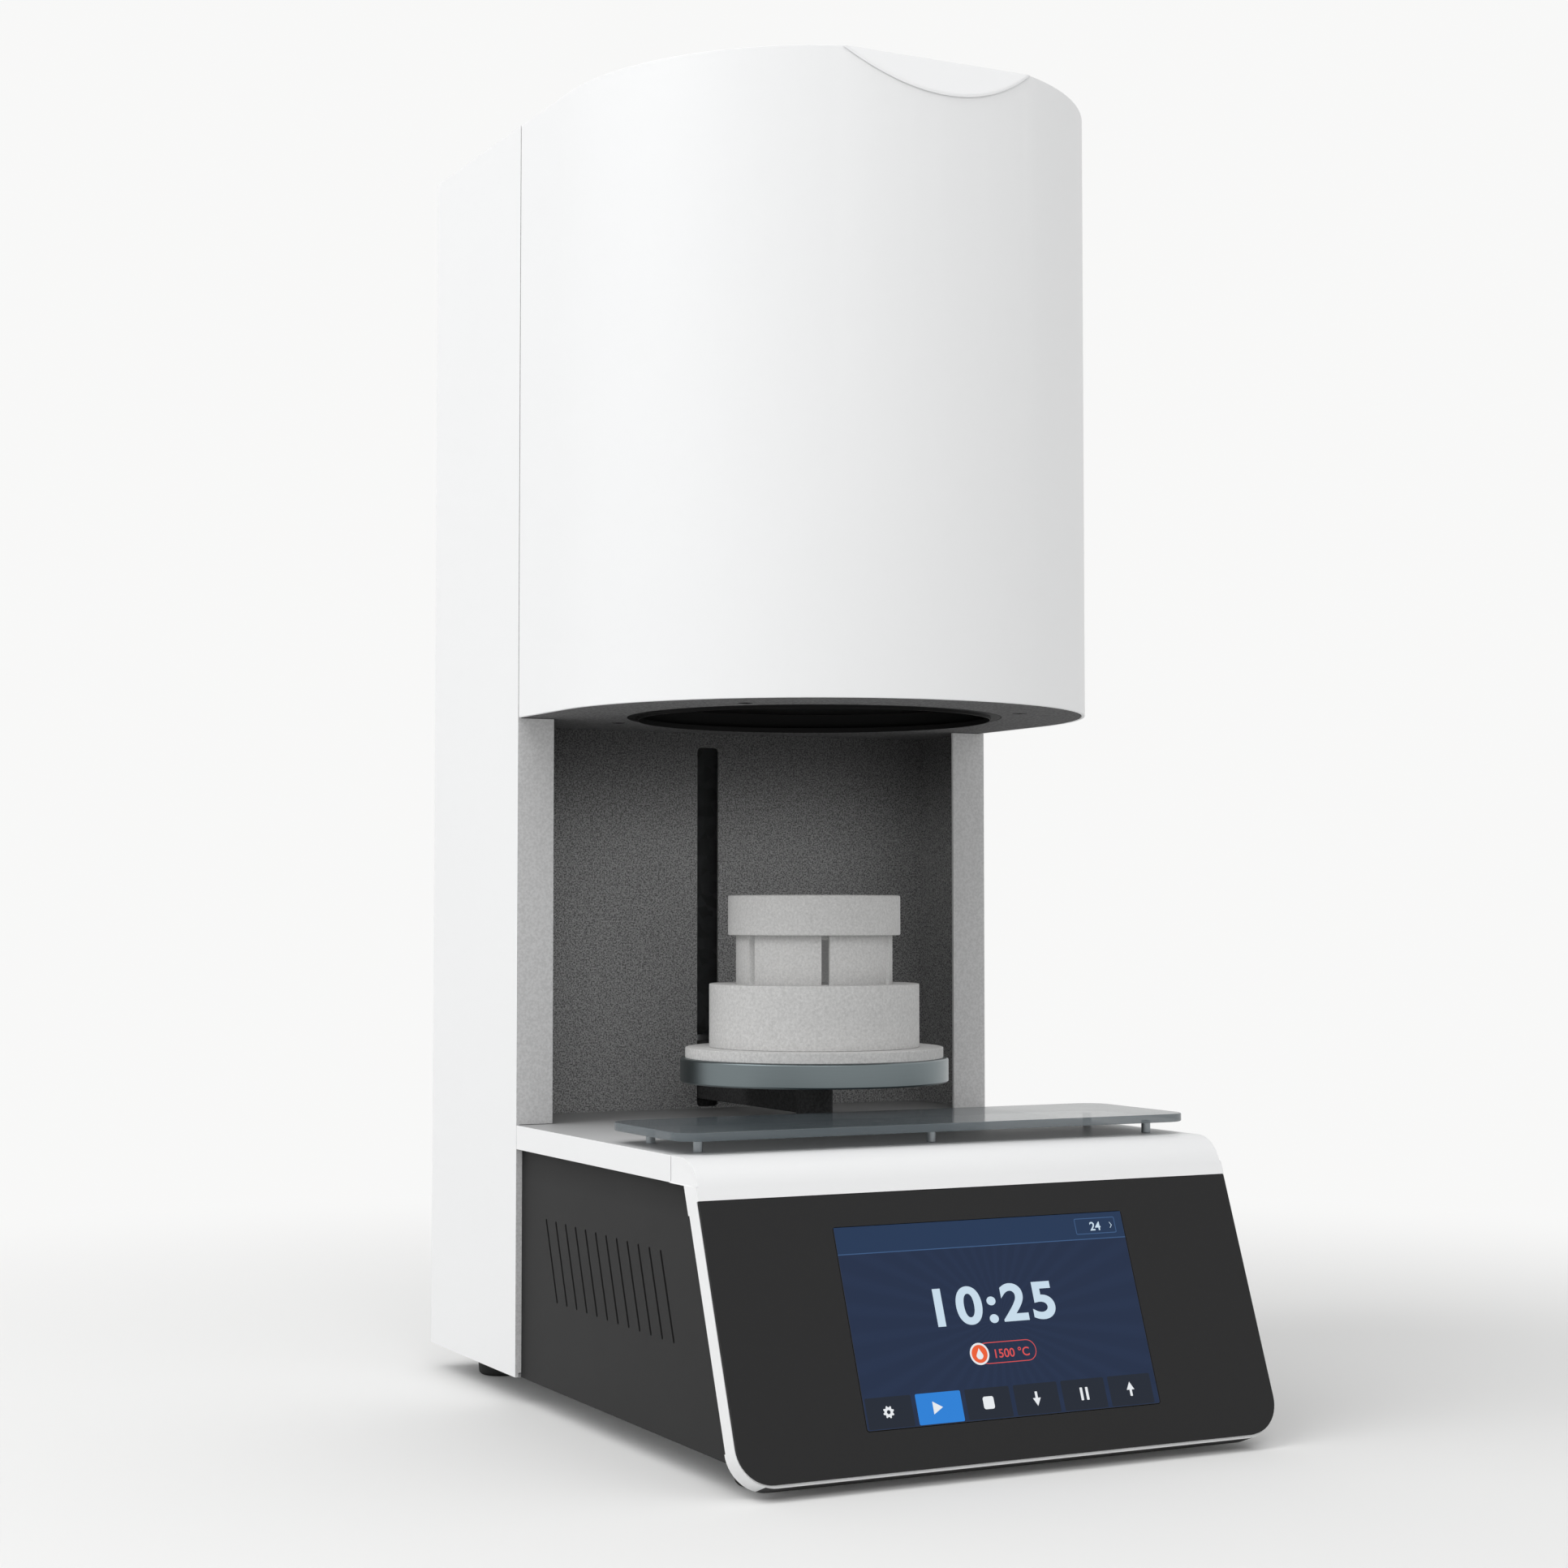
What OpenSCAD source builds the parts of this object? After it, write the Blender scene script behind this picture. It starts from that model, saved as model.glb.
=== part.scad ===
// Dental sintering furnace. A tall column carries a round-fronted head over a loading bay.
// A screw lift in the column raises the hearth and its crucible into the chamber in the head.
// Origin at the middle of the bounding box on the floor, X right, Y to the back, Z up, in mm.

/* [Body] */
// Width of the column, the head and the deck
body_w = 314; // [300:1:330]
// Height of the top above the floor
body_h = 742; // [736:1:780]
// Depth of the column behind its seam with the head
column_depth = 144; // [144:1:160]
// Thickness of the folded casing sheet
sheet = 2; // [1.5:0.1:2.5]
// Height of the casing's lower edge above the floor
foot_h = 15; // [14:0.5:20]
// Gap between sheets and covers that fit into or beside each other
fit_gap = 0.3; // [0.2:0.05:0.5]

/* [Loading bay] */
// Height of the deck above the floor
deck_z = 159; // [150:0.5:165]
// Height of the white band round the deck's edge
deck_band = 13.7; // [11:0.1:16]
// Distance from the seam back to the bay's rear wall
bay_depth = 75.4; // [70:0.1:76]
// Width of the casing's front lips on each side of the bay
lip_w = 22.4; // [15:0.1:26]
// Thickness of the bay's liner
liner_t = 1.5; // [1:0.1:1.5]
// Width of the slot that the lift's arm runs in
slot_w = 14.5; // [13:0.1:18]

/* [Head] */
// Height of the head from its underside to its top
head_h = 347.7; // [345:0.1:365]
// Width of the seam between the column and the head
seam_gap = 0.8; // [0.5:0.1:0.9]
// Distance from the seam back to the rearmost point of the head's circle
circle_reach = 87; // [84:0.5:90]
// Distance from the front of the head back to the chord of the slanted cap
cap_inset = 9.6; // [8:0.1:14]
// Slant of the cap from the vertical, in degrees
cap_slant = 27; // [20:0.5:32]
// Thickness of the slanted cap
cap_t = 1.2; // [1:0.1:3]
// Overhang of the cap's lower lip
cap_lip = 0.6; // [0.4:0.1:2]
// Depth of the cap's face below the head's top corner
cap_sink = 0.3; // [0.3:0.1:1]
// Distance from the head's sides in to the mouth in its underside
mouth_inset = 48.1; // [46:0.1:53]
// Distance from the mouth's edge out to the circle of screws
floor_screw_margin = 13.7; // [10:0.1:17]
// Thickness of the two rails that carry the head
rail_t = 3; // [2:0.5:4]
// Height of the two rails that carry the head
rail_h = 42; // [30:1:60]

/* [Chamber] */
// Depth of the recess above the mouth that takes the hearth's discs
mouth_depth = 10; // [8:0.5:14]
// Distance from the mouth's edge in to the collar's hanging lip
collar_margin = 6.9; // [5:0.1:10]
// Thickness of the collar's sheet
collar_t = 1.5; // [1:0.1:2]
// Thickness of the insulation round the hot chamber
wall_t = 50.5; // [46:0.5:54]
// Height of the hot chamber
chamber_h = 155; // [153:1:165]
// Gap between the head's sides and the chamber's steel can
can_gap = 19; // [14:0.5:24]
// Wall of the chamber's steel can
can_wall = 1.2; // [1:0.1:2]
// Thickness of the chamber's roof
roof_t = 94; // [80:1:100]
// Gap between the plug and the bore that it closes
plug_gap = 1.5; // [1:0.1:2.5]

/* [Heating] */
// Number of U-shaped elements
element_count = 6; // [4:1:6]
// Distance from the chamber's wall in to the circle that the elements hang on
element_inset = 14; // [12:0.5:16]
// Radius of an element in the hot zone
hot_r = 3; // [2.5:0.1:3.5]
// Radius of an element's terminal in the roof
terminal_r = 5; // [4.5:0.1:6]
// Gap under the elements
element_clear = 9; // [6:0.5:14]
// Radius of the thermocouple's sheath
probe_r = 4; // [3:0.5:5]
// Depth that the thermocouple reaches into the chamber
probe_reach = 50; // [30:1:70]

/* [Hearth] */
// Gap between the deck and the lift's arm at its lowest place
arm_clear = 6.1; // [4:0.1:8]
// Height of the lift's arm
arm_h = 18.7; // [16:0.1:20]
// Thickness of the lift's arm
arm_t = 12; // [9:0.5:12.5]
// Radius of the hub under the hearth plate
hub_r = 10.7; // [9:0.1:14]
// Distance from the mouth's edge in to the hearth plate
plate_inset = 31.2; // [29:0.1:33]
// Thickness of the hearth plate
plate_t = 13.9; // [11:0.1:15]
// Distance from the plate's edge in to the ceramic disc
disc_inset = 3; // [1.5:0.1:7]
// Thickness of the ceramic disc
disc_t = 6.1; // [5:0.1:8]
// Distance from the disc's edge in to the insulating plug
plug_inset = 13.8; // [11:0.1:18]
// Height of the insulating plug
plug_h = 36.5; // [32:0.1:40]
// Gap between the closed hearth and the collar above it
seal_gap = 0.5; // [0.3:0.1:1]

/* [Crucible] */
// Distance from the plug's edge in to the crucible
crucible_inset = 15.5; // [13:0.1:20]
// Wall of the crucible
crucible_wall = 6; // [4:0.5:8]
// Height of the crucible's wall above the plug
crucible_h = 27.9; // [24:0.1:30]
// Thickness of the crucible's floor, which sits in the plug
crucible_floor = 3; // [2:0.5:4]
// Number of slots in the crucible's wall
crucible_slots = 6; // [4:1:8]
// Width of a slot in the crucible's wall
crucible_slot_w = 5; // [3:0.5:7]
// Turn of the first slot from the X axis, in degrees
crucible_turn = 11; // [0:1:59]
// Width by which the lid overhangs the crucible
lid_reach = 4.6; // [3:0.1:8]
// Height of the lid
lid_h = 23.2; // [18:0.1:25]
// Depth of the lid's spigot in the crucible
spigot_h = 2.5; // [1.5:0.5:4]

/* [Fascia] */
// Distance from the seam forward to the top line of the front panel
panel_forward = 250.5; // [245:0.5:258]
// Drop from the deck to the top line of the front panel
panel_drop = 19.8; // [18:0.1:22]
// Length of the front panel down its slope
panel_len = 139.8; // [125:0.1:140]
// Slope of the front panel from the vertical, in degrees
panel_slope = 20.8; // [18:0.1:23]
// Radius of the rounded nose between the deck and the panel
nose_r = 20; // [16:0.5:20]
// Length of the fascia's flat top behind the nose's axis
nose_flat = 14.1; // [10:0.1:20]
// Depth of the frame behind the front panel
frame_depth = 11.8; // [9:0.1:12]
// Width by which the frame is wider than the column on each side
frame_proud = 1; // [0.5:0.1:2]
// Width of the white rim below the front panel
frame_rim = 1.5; // [1:0.1:2]
// Depth of the relief along the back of the frame's slanted edges
frame_relief = 1.2; // [0.5:0.1:2]
// Radius of the frame's lower corners
frame_corner_r = 20; // [15:0.5:24]
// Thickness of the front panel
panel_t = 2; // [1.5:0.1:3]
// Width of the touch screen
screen_w = 173; // [150:1:190]
// Height of the touch screen
screen_h = 102.5; // [90:0.5:108]
// Distance from the panel's top line down to the screen
screen_drop = 17; // [10:0.5:24]
// Depth of the display module behind the screen
module_t = 7; // [5:0.5:9]

/* [Side panels] */
// Distance of the side panels inside the casing's sides
side_inset = 3.6; // [3:0.1:5]
// Number of louvre slots
louvre_count = 12; // [8:1:12]
// Spacing of the louvre slots
louvre_pitch = 14.27; // [12:0.01:14.5]
// Length of a louvre slot
louvre_len = 48.3; // [40:0.1:56]
// Width of a louvre slot
louvre_w = 2; // [1.5:0.1:3]
// Distance from the seam forward to the middle of the first slot
louvre_first = 46.5; // [40:0.5:55]
// Drop from the deck to the middle of the slots
louvre_drop = 72.5; // [66:0.5:80]

/* [Glass shelf] */
// Width of the glass
shelf_w = 311; // [290:1:313]
// Depth of the glass
shelf_depth = 95.5; // [85:0.5:98]
// Thickness of the glass
shelf_t = 4.5; // [3:0.5:6]
// Radius of the glass's corners
shelf_corner_r = 14; // [8:0.5:18]
// Distance from the seam forward to the glass's front edge
shelf_forward = 224; // [220:0.5:228]
// Height of the posts under the glass
post_h = 6.8; // [5:0.1:8]
// Radius of the posts
post_r = 2.5; // [2:0.1:4]
// Distance of the posts inside the glass's edges
post_inset = 18; // [12:0.5:22]

/* [Lift] */
// Radius of the lifting screw
screw_r = 6; // [5:0.5:7]
// Radius of the guide rods
rod_r = 6; // [5:0.5:7]
// Distance between the guide rods
rod_spacing = 84; // [78:1:92]
// Width of the lift's frame
lift_w = 140; // [124:1:150]
// Thickness of the lift's frame
lift_plate = 8; // [6:0.5:9]
// Height of the lower bearing plate above the floor
lift_low_z = 118; // [114:0.5:122]
// Length of the carriage on its rods
carriage_h = 60; // [56:1:64]
// Depth of the carriage
carriage_depth = 34; // [32:1:36]
// Gap between the carriage and the frame at the ends of the travel
carriage_clear = 14; // [10:1:18]
// Width and depth of the motor
motor_w = 56; // [52:1:57]
// Length of the motor
motor_len = 56; // [50:1:60]
// Length of the coupling between motor and screw
coupling_len = 28; // [24:1:30]
// Clearance round the screw, the shafts and the rods
running_gap = 0.05; // [0.03:0.01:0.09]

/* [Rear] */
// Distance that the fan guard stands out of the back
guard_proud = 3; // [2.5:0.1:4]
// Width of the cooling fan
fan_w = 92; // [80:1:100]
// Thickness of the cooling fan
fan_t = 25; // [20:1:28]
// Height of the cooling fan's axis above the head's underside
fan_rise = 165.7; // [150:0.1:200]
// Number of fan blades
fan_blades = 7; // [5:1:9]
// Distance of the power inlet and the switch inside the casing's side
inlet_inset = 45; // [42:1:50]
// Height of the power inlet's middle above the floor
inlet_z = 62; // [56:1:70]
// Height of the mains switch's middle above the inlet
switch_rise = 46; // [40:1:60]
// Width of the inlet's body
inlet_w = 28; // [26:0.5:30]
// Height of the inlet's body
inlet_h = 21; // [20:0.5:24]
// Width of the switch's body
switch_w = 27; // [25:0.5:29]
// Height of the switch's body
switch_h = 21; // [19:0.5:23]
// Length of the vents over and under the fan
vent_len = 50; // [40:1:60]
// Gap between the fan and the vents
vent_gap = 20; // [14:1:30]
// Travel of the rocker, in degrees
rocker_swing = 16; // [10:1:20]

/* [Electrics] */
// Depth of the transformer's core
core_depth = 60; // [50:1:64]
// Height of the transformer's core
core_h = 84; // [70:1:100]
// Thickness of the core's outer limbs and yokes
core_limb = 16.5; // [14:0.5:20]
// Distance from the seam forward to the transformer's middle
core_forward = 110; // [105:1:115]
// Depth of the power supply
supply_depth = 64; // [56:1:70]
// Height of the power supply
supply_h = 38; // [30:1:45]
// Distance from the seam forward to the power supply's middle
supply_forward = 205; // [200:1:212]
// Depth of the control board
board_depth = 84; // [70:1:90]
// Thickness of the control board
board_t = 1.6; // [1.2:0.1:2]
// Height of the standoffs under the board
standoff_h = 12; // [8:1:16]
// Distance from the seam forward to the board's middle
board_forward = 175; // [170:1:185]
// Distance of the board's edge inside the right side
board_inset = 17; // [12:1:24]
// Depth of the heat sink
sink_depth = 80; // [70:1:86]
// Height of the heat sink
sink_h = 31; // [24:1:36]
// Number of fins on the heat sink
sink_fins = 10; // [8:1:14]
// Distance from the seam forward to the heat sink's middle
sink_forward = 60; // [55:1:70]
// Distance of the heat sink's edge inside the right side
sink_inset = 28; // [20:1:36]

/* [Feet] */
// Radius of the feet
foot_r = 15; // [12:0.5:18]
// Distance of the feet's axes inside the casing's sides
foot_inset = 31; // [28:1:40]
// Distance of the rear feet inside the column's back
foot_rear = 42; // [30:1:50]
// Distance from the seam forward to the front feet
foot_forward = 258; // [220:1:265]

/* [Hidden] */
$fn = 96;

white_paint = "#eef0f0";
dark_paint = "#37383a";
blue_steel = "#7c888f";
steel = "#b4b8bb";
fibre = "#f1efe8";
black_part = "#1b1c1e";
eps = 1;

half_w = body_w / 2;
head_z = body_h - head_h;
front_reach = panel_forward + panel_len * sin(panel_slope);
seam_y = (front_reach - column_depth - guard_proud) / 2;
back_y = seam_y + column_depth;
axis_forward = half_w - circle_reach;
axis_y = seam_y - axis_forward;
bay_back_y = seam_y + bay_depth;
liner_back_y = bay_back_y + liner_t;
panel_top_y = seam_y - panel_forward;
panel_top_z = deck_z - panel_drop;
nose_z = deck_z - nose_r;
nose_y = panel_top_y + (nose_z - panel_top_z) * tan(panel_slope) + nose_r / cos(panel_slope);
slope_run = (nose_z + nose_r * sin(panel_slope) - panel_top_z) / cos(panel_slope);
deck_front_y = nose_y + nose_flat;
tray_top = foot_h + sheet;
left_x = 0.5 - half_w / 2;
core_w = half_w - 57;
supply_w = half_w - 57;
sink_w = half_w - 67;
sink_x = half_w - sink_inset - sink_w / 2;
board_w = half_w - 5;
board_x = half_w - board_inset - board_w / 2;
board_edge = 11;
inlet_x = half_w - inlet_inset;
fan_z = head_z + fan_rise;
frame_half = half_w + frame_proud;
frame_relief_end = 8;
rear_sheet_y = back_y - sheet;
rear_lip_y = rear_sheet_y - sheet;
rear_lip_w = 12;

arm_z = deck_z + arm_clear;
plate_z = arm_z + arm_h;
disc_z = plate_z + plate_t;
plug_z = disc_z + disc_t;
crucible_z = plug_z + plug_h;
lid_z = crucible_z + crucible_h;
collar_z = head_z + mouth_depth;
lift_travel = collar_z - seal_gap - plug_z;
slot_low = deck_z + 1;
slot_high = plate_z + lift_travel + 1.2;

chamber_z = crucible_z + lift_travel + 0.7;
roof_z = chamber_z + chamber_h;
roof_top = roof_z + roof_t;
mouth_r = half_w - mouth_inset;
plate_r = mouth_r - plate_inset;
disc_r = plate_r - disc_inset;
plug_r = disc_r - plug_inset;
crucible_r = plug_r - crucible_inset;
lid_r = crucible_r + lid_reach;
bore_r = plug_r + plug_gap;
can_r = half_w - can_gap;
fill_r = can_r - can_wall;
chamber_r = fill_r - fit_gap - wall_t;
element_circle_r = chamber_r - element_inset;
leg_spacing = element_circle_r / 3;
clamp_depth = element_circle_r * 0.278;
clamp_w = element_circle_r * 0.639;
probe_head_r = element_circle_r * 0.153;
floor_screw_r = mouth_r + floor_screw_margin;
collar_r = mouth_r - collar_margin;

lift_back_t = 4;
lift_back_y = rear_lip_y - fit_gap;
lift_y = (liner_back_y + lift_back_y - lift_back_t) / 2;
carriage_z = (arm_z + plate_z) / 2 - carriage_h / 2;
lift_high_z = carriage_z + carriage_h + lift_travel + carriage_clear;
bearing_r = 14;
motor_top = lift_low_z - coupling_len - 8;
sleeve_r = rod_r + 4.5;

// Extrudes a shape drawn in Y and Z along X, centred
module along_x(w) {
    rotate([90, 0, 90]) translate([0, 0, -w / 2]) linear_extrude(w) children();
}

// Ring with square edges
module ring(outer, inner, h) {
    difference() {
        cylinder(r = outer, h = h);
        translate([0, 0, -eps]) cylinder(r = inner, h = h + 2 * eps);
    }
}

// Rectangle with round corners, centred
module round_rect(w, h, r) {
    square([w - 2 * r, h], center = true);
    square([w, h - 2 * r], center = true);
    for (x = [-1, 1], y = [-1, 1])
        translate([x * (w / 2 - r), y * (h / 2 - r)]) circle(r);
}

// Slot with round ends along Y, centred
module slot_shape(w, len) {
    square([w, len - w], center = true);
    for (y = [-1, 1]) translate([0, y * (len - w) / 2]) circle(w / 2, $fn = 24);
}

// Places children on the sloping front: Y runs up the slope from the panel's top line, Z outwards
module on_slope() {
    translate([0, panel_top_y, panel_top_z]) rotate([90 - panel_slope, 0, 0]) children();
}

// Places children on the hearth's axis
module on_axis(z = 0) {
    translate([0, axis_y, z]) children();
}

// Outline of the head in plan, drawn in by a margin and ending ahead of the seam by a gap
module head_plan(margin, gap = seam_gap) {
    difference() {
        translate([0, axis_y]) circle(half_w - margin, $fn = 180);
        translate([-body_w, axis_y]) square(2 * body_w);
    }
    translate([-half_w + margin, axis_y])
        square([body_w - 2 * margin, axis_forward - gap]);
}

// Low-head screw along -Z, with the underside of its head at the origin
module low_screw(r, len) {
    head = guard_proud - guard_wire;
    difference() {
        union() {
            cylinder(r = 2 * r, h = head, $fn = 32);
            translate([0, 0, -len]) cylinder(r = r, h = len, $fn = 24);
        }
        translate([0, 0, head / 3]) cylinder(r = 0.9 * r, h = 2 * r, $fn = 6);
    }
}

module column_casing() {
    h = body_h - foot_h;
    color(white_paint) difference() {
        union() {
            // wrapped sides and top
            translate([-half_w, seam_y, foot_h]) difference() {
                cube([body_w, column_depth, h]);
                translate([sheet, -eps, -eps])
                    cube([body_w - 2 * sheet, column_depth + 2 * eps, h - sheet + eps]);
            }
            // front lips beside the bay
            for (x = [-half_w + sheet - eps, half_w - lip_w])
                translate([x, seam_y, deck_z + fit_gap])
                    cube([lip_w - sheet + eps, sheet, head_z - deck_z - 2 * fit_gap]);
            // rear lips, set in by the thickness of the rear panel
            for (x = [-half_w + sheet - eps, half_w - rear_lip_w - sheet])
                translate([x, rear_lip_y, foot_h + 3 * sheet])
                    cube([rear_lip_w + eps, sheet, h - 4 * sheet]);
            translate([-half_w + sheet, rear_lip_y, body_h - sheet - rear_lip_w])
                cube([body_w - 2 * sheet, sheet, rear_lip_w + sheet / 2]);
        }
        for (p = rear_screw_places()) translate([p[0], back_y, p[1]]) rotate([90, 0, 0])
            cylinder(r = 2.3, h = 6 * sheet, $fn = 24);
    }
}

function rear_screw_places() = [
    for (x = [-1, 1], i = [0 : 3])
        [x * (half_w - sheet - rear_lip_w / 2), foot_h + 40 + i * (body_h - foot_h - 60) / 3]];

module bay_liner() {
    inner = half_w - sheet - fit_gap;
    top = head_z;
    color("#c9cccd") difference() {
        translate([-inner, seam_y + sheet + fit_gap, deck_z])
            cube([2 * inner, liner_back_y - seam_y - sheet - fit_gap, top - deck_z]);
        translate([-inner + liner_t, seam_y, deck_z - eps])
            cube([2 * (inner - liner_t), bay_depth, head_z - deck_z + 2 * eps]);
        // slot for the lift's arm
        translate([0, bay_back_y - eps, (slot_low + slot_high) / 2]) rotate([-90, 0, 0])
            linear_extrude(liner_t + 2 * eps) round_rect(slot_w, slot_high - slot_low, 2.5);
    }
}

module rear_panel() {
    w = body_w - 2 * sheet - 2 * fit_gap;
    z0 = foot_h + sheet + fit_gap;
    h = body_h - sheet - fit_gap - z0;
    color(white_paint) difference() {
        translate([-w / 2, rear_sheet_y, z0]) cube([w, sheet, h]);
        for (p = rear_screw_places()) translate([p[0], back_y + eps, p[1]]) rotate([90, 0, 0])
            cylinder(r = 2.3, h = 3 * sheet, $fn = 24);
        // air holes of the fan, and its four screws
        translate([0, back_y + eps, fan_z]) rotate([90, 0, 0])
            cylinder(r = fan_w / 2 - 3, h = sheet + 2 * eps);
        for (x = [-1, 1], z = [-1, 1])
            translate([x * fan_hole, back_y + eps, fan_z + z * fan_hole]) rotate([90, 0, 0])
                cylinder(r = 2.3, h = sheet + 2 * eps, $fn = 24);
        // vents over and under the fan
        for (side = [-1, 1], i = [-5 : 5])
            translate([i * 16, back_y + eps, fan_z + side * (fan_w / 2 + vent_gap + vent_len / 2)])
                rotate([90, 0, 0]) linear_extrude(sheet + 2 * eps) slot_shape(5, vent_len);
        // cut-outs of the inlet and the switch
        translate([inlet_x, back_y + eps, inlet_z]) rotate([90, 0, 0])
            linear_extrude(sheet + 2 * eps) round_rect(inlet_w + 1, inlet_h + 1, 2);
        translate([inlet_x, back_y + eps, inlet_z + switch_rise]) rotate([90, 0, 0])
            linear_extrude(sheet + 2 * eps) round_rect(switch_w + 1, switch_h + 1, 1);
    }
}

module rear_screws() {
    color(steel) {
        for (p = rear_screw_places()) translate([p[0], back_y, p[1]])
            rotate([-90, 0, 0]) low_screw(2, 8);
        for (x = [-1, 1], z = [-1, 1])
            translate([x * fan_hole, back_y + guard_wire, fan_z + z * fan_hole])
                rotate([-90, 0, 0]) low_screw(2, 8 + guard_wire);
    }
}

// Half space in front of the slanted cap's face, lowered by a depth
module cap_cut(depth) {
    translate([0, axis_y - half_w + cap_inset, body_h]) rotate([90 - cap_slant, 0, 0])
        translate([-half_w, -body_w, -depth]) cube([body_w, 2 * body_w, body_w]);
}

module head_cover() {
    color(white_paint) difference() {
        translate([0, 0, head_z]) linear_extrude(body_h - head_z) head_plan(0);
        translate([0, 0, head_z - eps])
            linear_extrude(body_h - head_z - sheet + eps) head_plan(sheet, -eps);
        cap_cut(cap_sink + cap_t);
    }
}

module top_cap() {
    slot = fit_gap;
    color("#f6f7f7") intersection() {
        translate([0, 0, body_h - 60]) linear_extrude(60 - cap_sink) head_plan(-cap_lip);
        difference() {
            cap_cut(cap_sink + cap_t - slot);
            cap_cut(cap_sink);
        }
    }
}

module head_floor() {
    wide = half_w - sheet - fit_gap;
    color("#a9adae") difference() {
        translate([0, 0, head_z]) linear_extrude(sheet) {
            head_plan(sheet + fit_gap);
            // the same sheet runs back over the bay as its ceiling
            translate([-wide, seam_y - seam_gap - eps])
                square([2 * wide, liner_back_y - seam_y + seam_gap + eps]);
        }
        on_axis(head_z - eps) cylinder(r = mouth_r, h = sheet + 2 * eps, $fn = 180);
        floor_screw_places() translate([0, 0, head_z - eps]) {
            cylinder(r = 2.3, h = sheet + 2 * eps, $fn = 24);
            cylinder(r = 4.4, h = sheet / 2 + eps, $fn = 32);
        }
    }
}

module floor_screw_places() {
    for (a = [45 : 90 : 315])
        translate([floor_screw_r * cos(a), axis_y + floor_screw_r * sin(a), 0]) children();
}

module floor_screws() {
    color(black_part) floor_screw_places() translate([0, 0, head_z + sheet / 2]) mirror([0, 0, 1])
        difference() {
            union() {
                cylinder(r = 4, h = sheet / 2, $fn = 32);
                translate([0, 0, -7]) cylinder(r = 2, h = 7, $fn = 24);
            }
            translate([0, 0, 0.4]) cylinder(r = 1.8, h = sheet, $fn = 6);
        }
}

module mouth_collar() {
    outer = mouth_r - fit_gap;
    color(black_part) on_axis() rotate_extrude($fn = 180) polygon([
        [bore_r, collar_z], [outer - collar_t, collar_z], [outer - collar_t, head_z + collar_t],
        [collar_r, head_z + collar_t], [collar_r, head_z - 1.6], [collar_r + 1, head_z - 1.6],
        [collar_r + 1, head_z], [outer, head_z], [outer, collar_z + collar_t],
        [bore_r, collar_z + collar_t]]);
}

module chamber_can() {
    z0 = head_z + sheet;
    color(steel) on_axis() difference() {
        rotate_extrude($fn = 180) polygon([
            [mouth_r, z0], [can_r, z0], [can_r, roof_top + can_wall], [fill_r - 6, roof_top + can_wall],
            [fill_r - 6, roof_top], [fill_r, roof_top],
            [fill_r, z0 + can_wall], [mouth_r, z0 + can_wall]]);
        translate([0, -axis_y, 0]) floor_screw_places() translate([0, 0, z0 - eps])
            cylinder(r = 2.3, h = can_wall + 2 * eps, $fn = 24);
    }
}

module mouth_insulation() {
    low = head_z + sheet + can_wall;
    step_r = mouth_r + fit_gap;
    color(fibre) on_axis() difference() {
        rotate_extrude($fn = 180) polygon([
            [step_r, low], [fill_r - fit_gap, low], [fill_r - fit_gap, chamber_z],
            [bore_r, chamber_z], [bore_r, collar_z + collar_t], [step_r, collar_z + collar_t]]);
        translate([0, -axis_y, 0]) floor_screw_places() translate([0, 0, low - eps])
            cylinder(r = 2.6, h = 8 + eps, $fn = 24);
    }
}

module chamber_wall() {
    color(fibre) on_axis(chamber_z) ring(fill_r - fit_gap, chamber_r, chamber_h, $fn = 180);
}

// One place for each leg of each element, along its axis from the floor
module leg_places() {
    on_axis() for (i = [0 : element_count - 1], side = [-1, 1])
        rotate([0, 0, i * 360 / element_count])
            translate([element_circle_r, side * leg_spacing / 2, 0]) children();
}

// The thermocouple comes down through the roof between the last element and the first
module probe_place() {
    on_axis() rotate([0, 0, -180 / element_count]) translate([element_circle_r, 0, 0]) children();
}

module chamber_roof() {
    color(fibre) difference() {
        on_axis(roof_z) cylinder(r = fill_r - fit_gap, h = roof_t, $fn = 180);
        leg_places() translate([0, 0, roof_z - eps])
            cylinder(r = terminal_r + 0.6, h = roof_t + 2 * eps, $fn = 32);
        probe_place() translate([0, 0, roof_z - eps])
            cylinder(r = probe_r + 0.6, h = roof_t + 2 * eps, $fn = 32);
    }
}

clamp_t = 14;
strap_z = roof_top + clamp_t + 2;
terminal_top = strap_z + 8;

module heating_elements() {
    bend_r = leg_spacing / 2;
    low = chamber_z + element_clear + hot_r + bend_r;
    color("#6d6a66") {
        leg_places() {
            translate([0, 0, low]) cylinder(r = hot_r, h = roof_z - low + eps, $fn = 24);
            translate([0, 0, roof_z + 0.5])
                cylinder(r = terminal_r, h = terminal_top - roof_z - 0.5, $fn = 32);
        }
        on_axis() for (i = [0 : element_count - 1]) rotate([0, 0, i * 360 / element_count])
            translate([element_circle_r, 0, low]) rotate([0, 90, 0]) rotate([0, 0, -90])
                rotate_extrude(angle = 180, $fn = 64) translate([bend_r, 0]) circle(hot_r, $fn = 24);
    }
}

module element_clamps() {
    color("#dcd8cf") on_axis(roof_top) for (i = [0 : element_count - 1])
        rotate([0, 0, i * 360 / element_count]) difference() {
            translate([element_circle_r - clamp_depth / 2, -clamp_w / 2, 0])
                cube([clamp_depth, clamp_w, clamp_t]);
            for (side = [-1, 1]) translate([element_circle_r, side * leg_spacing / 2, -eps])
                cylinder(r = terminal_r + 0.2, h = clamp_t + 2 * eps, $fn = 32);
        }
}

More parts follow.
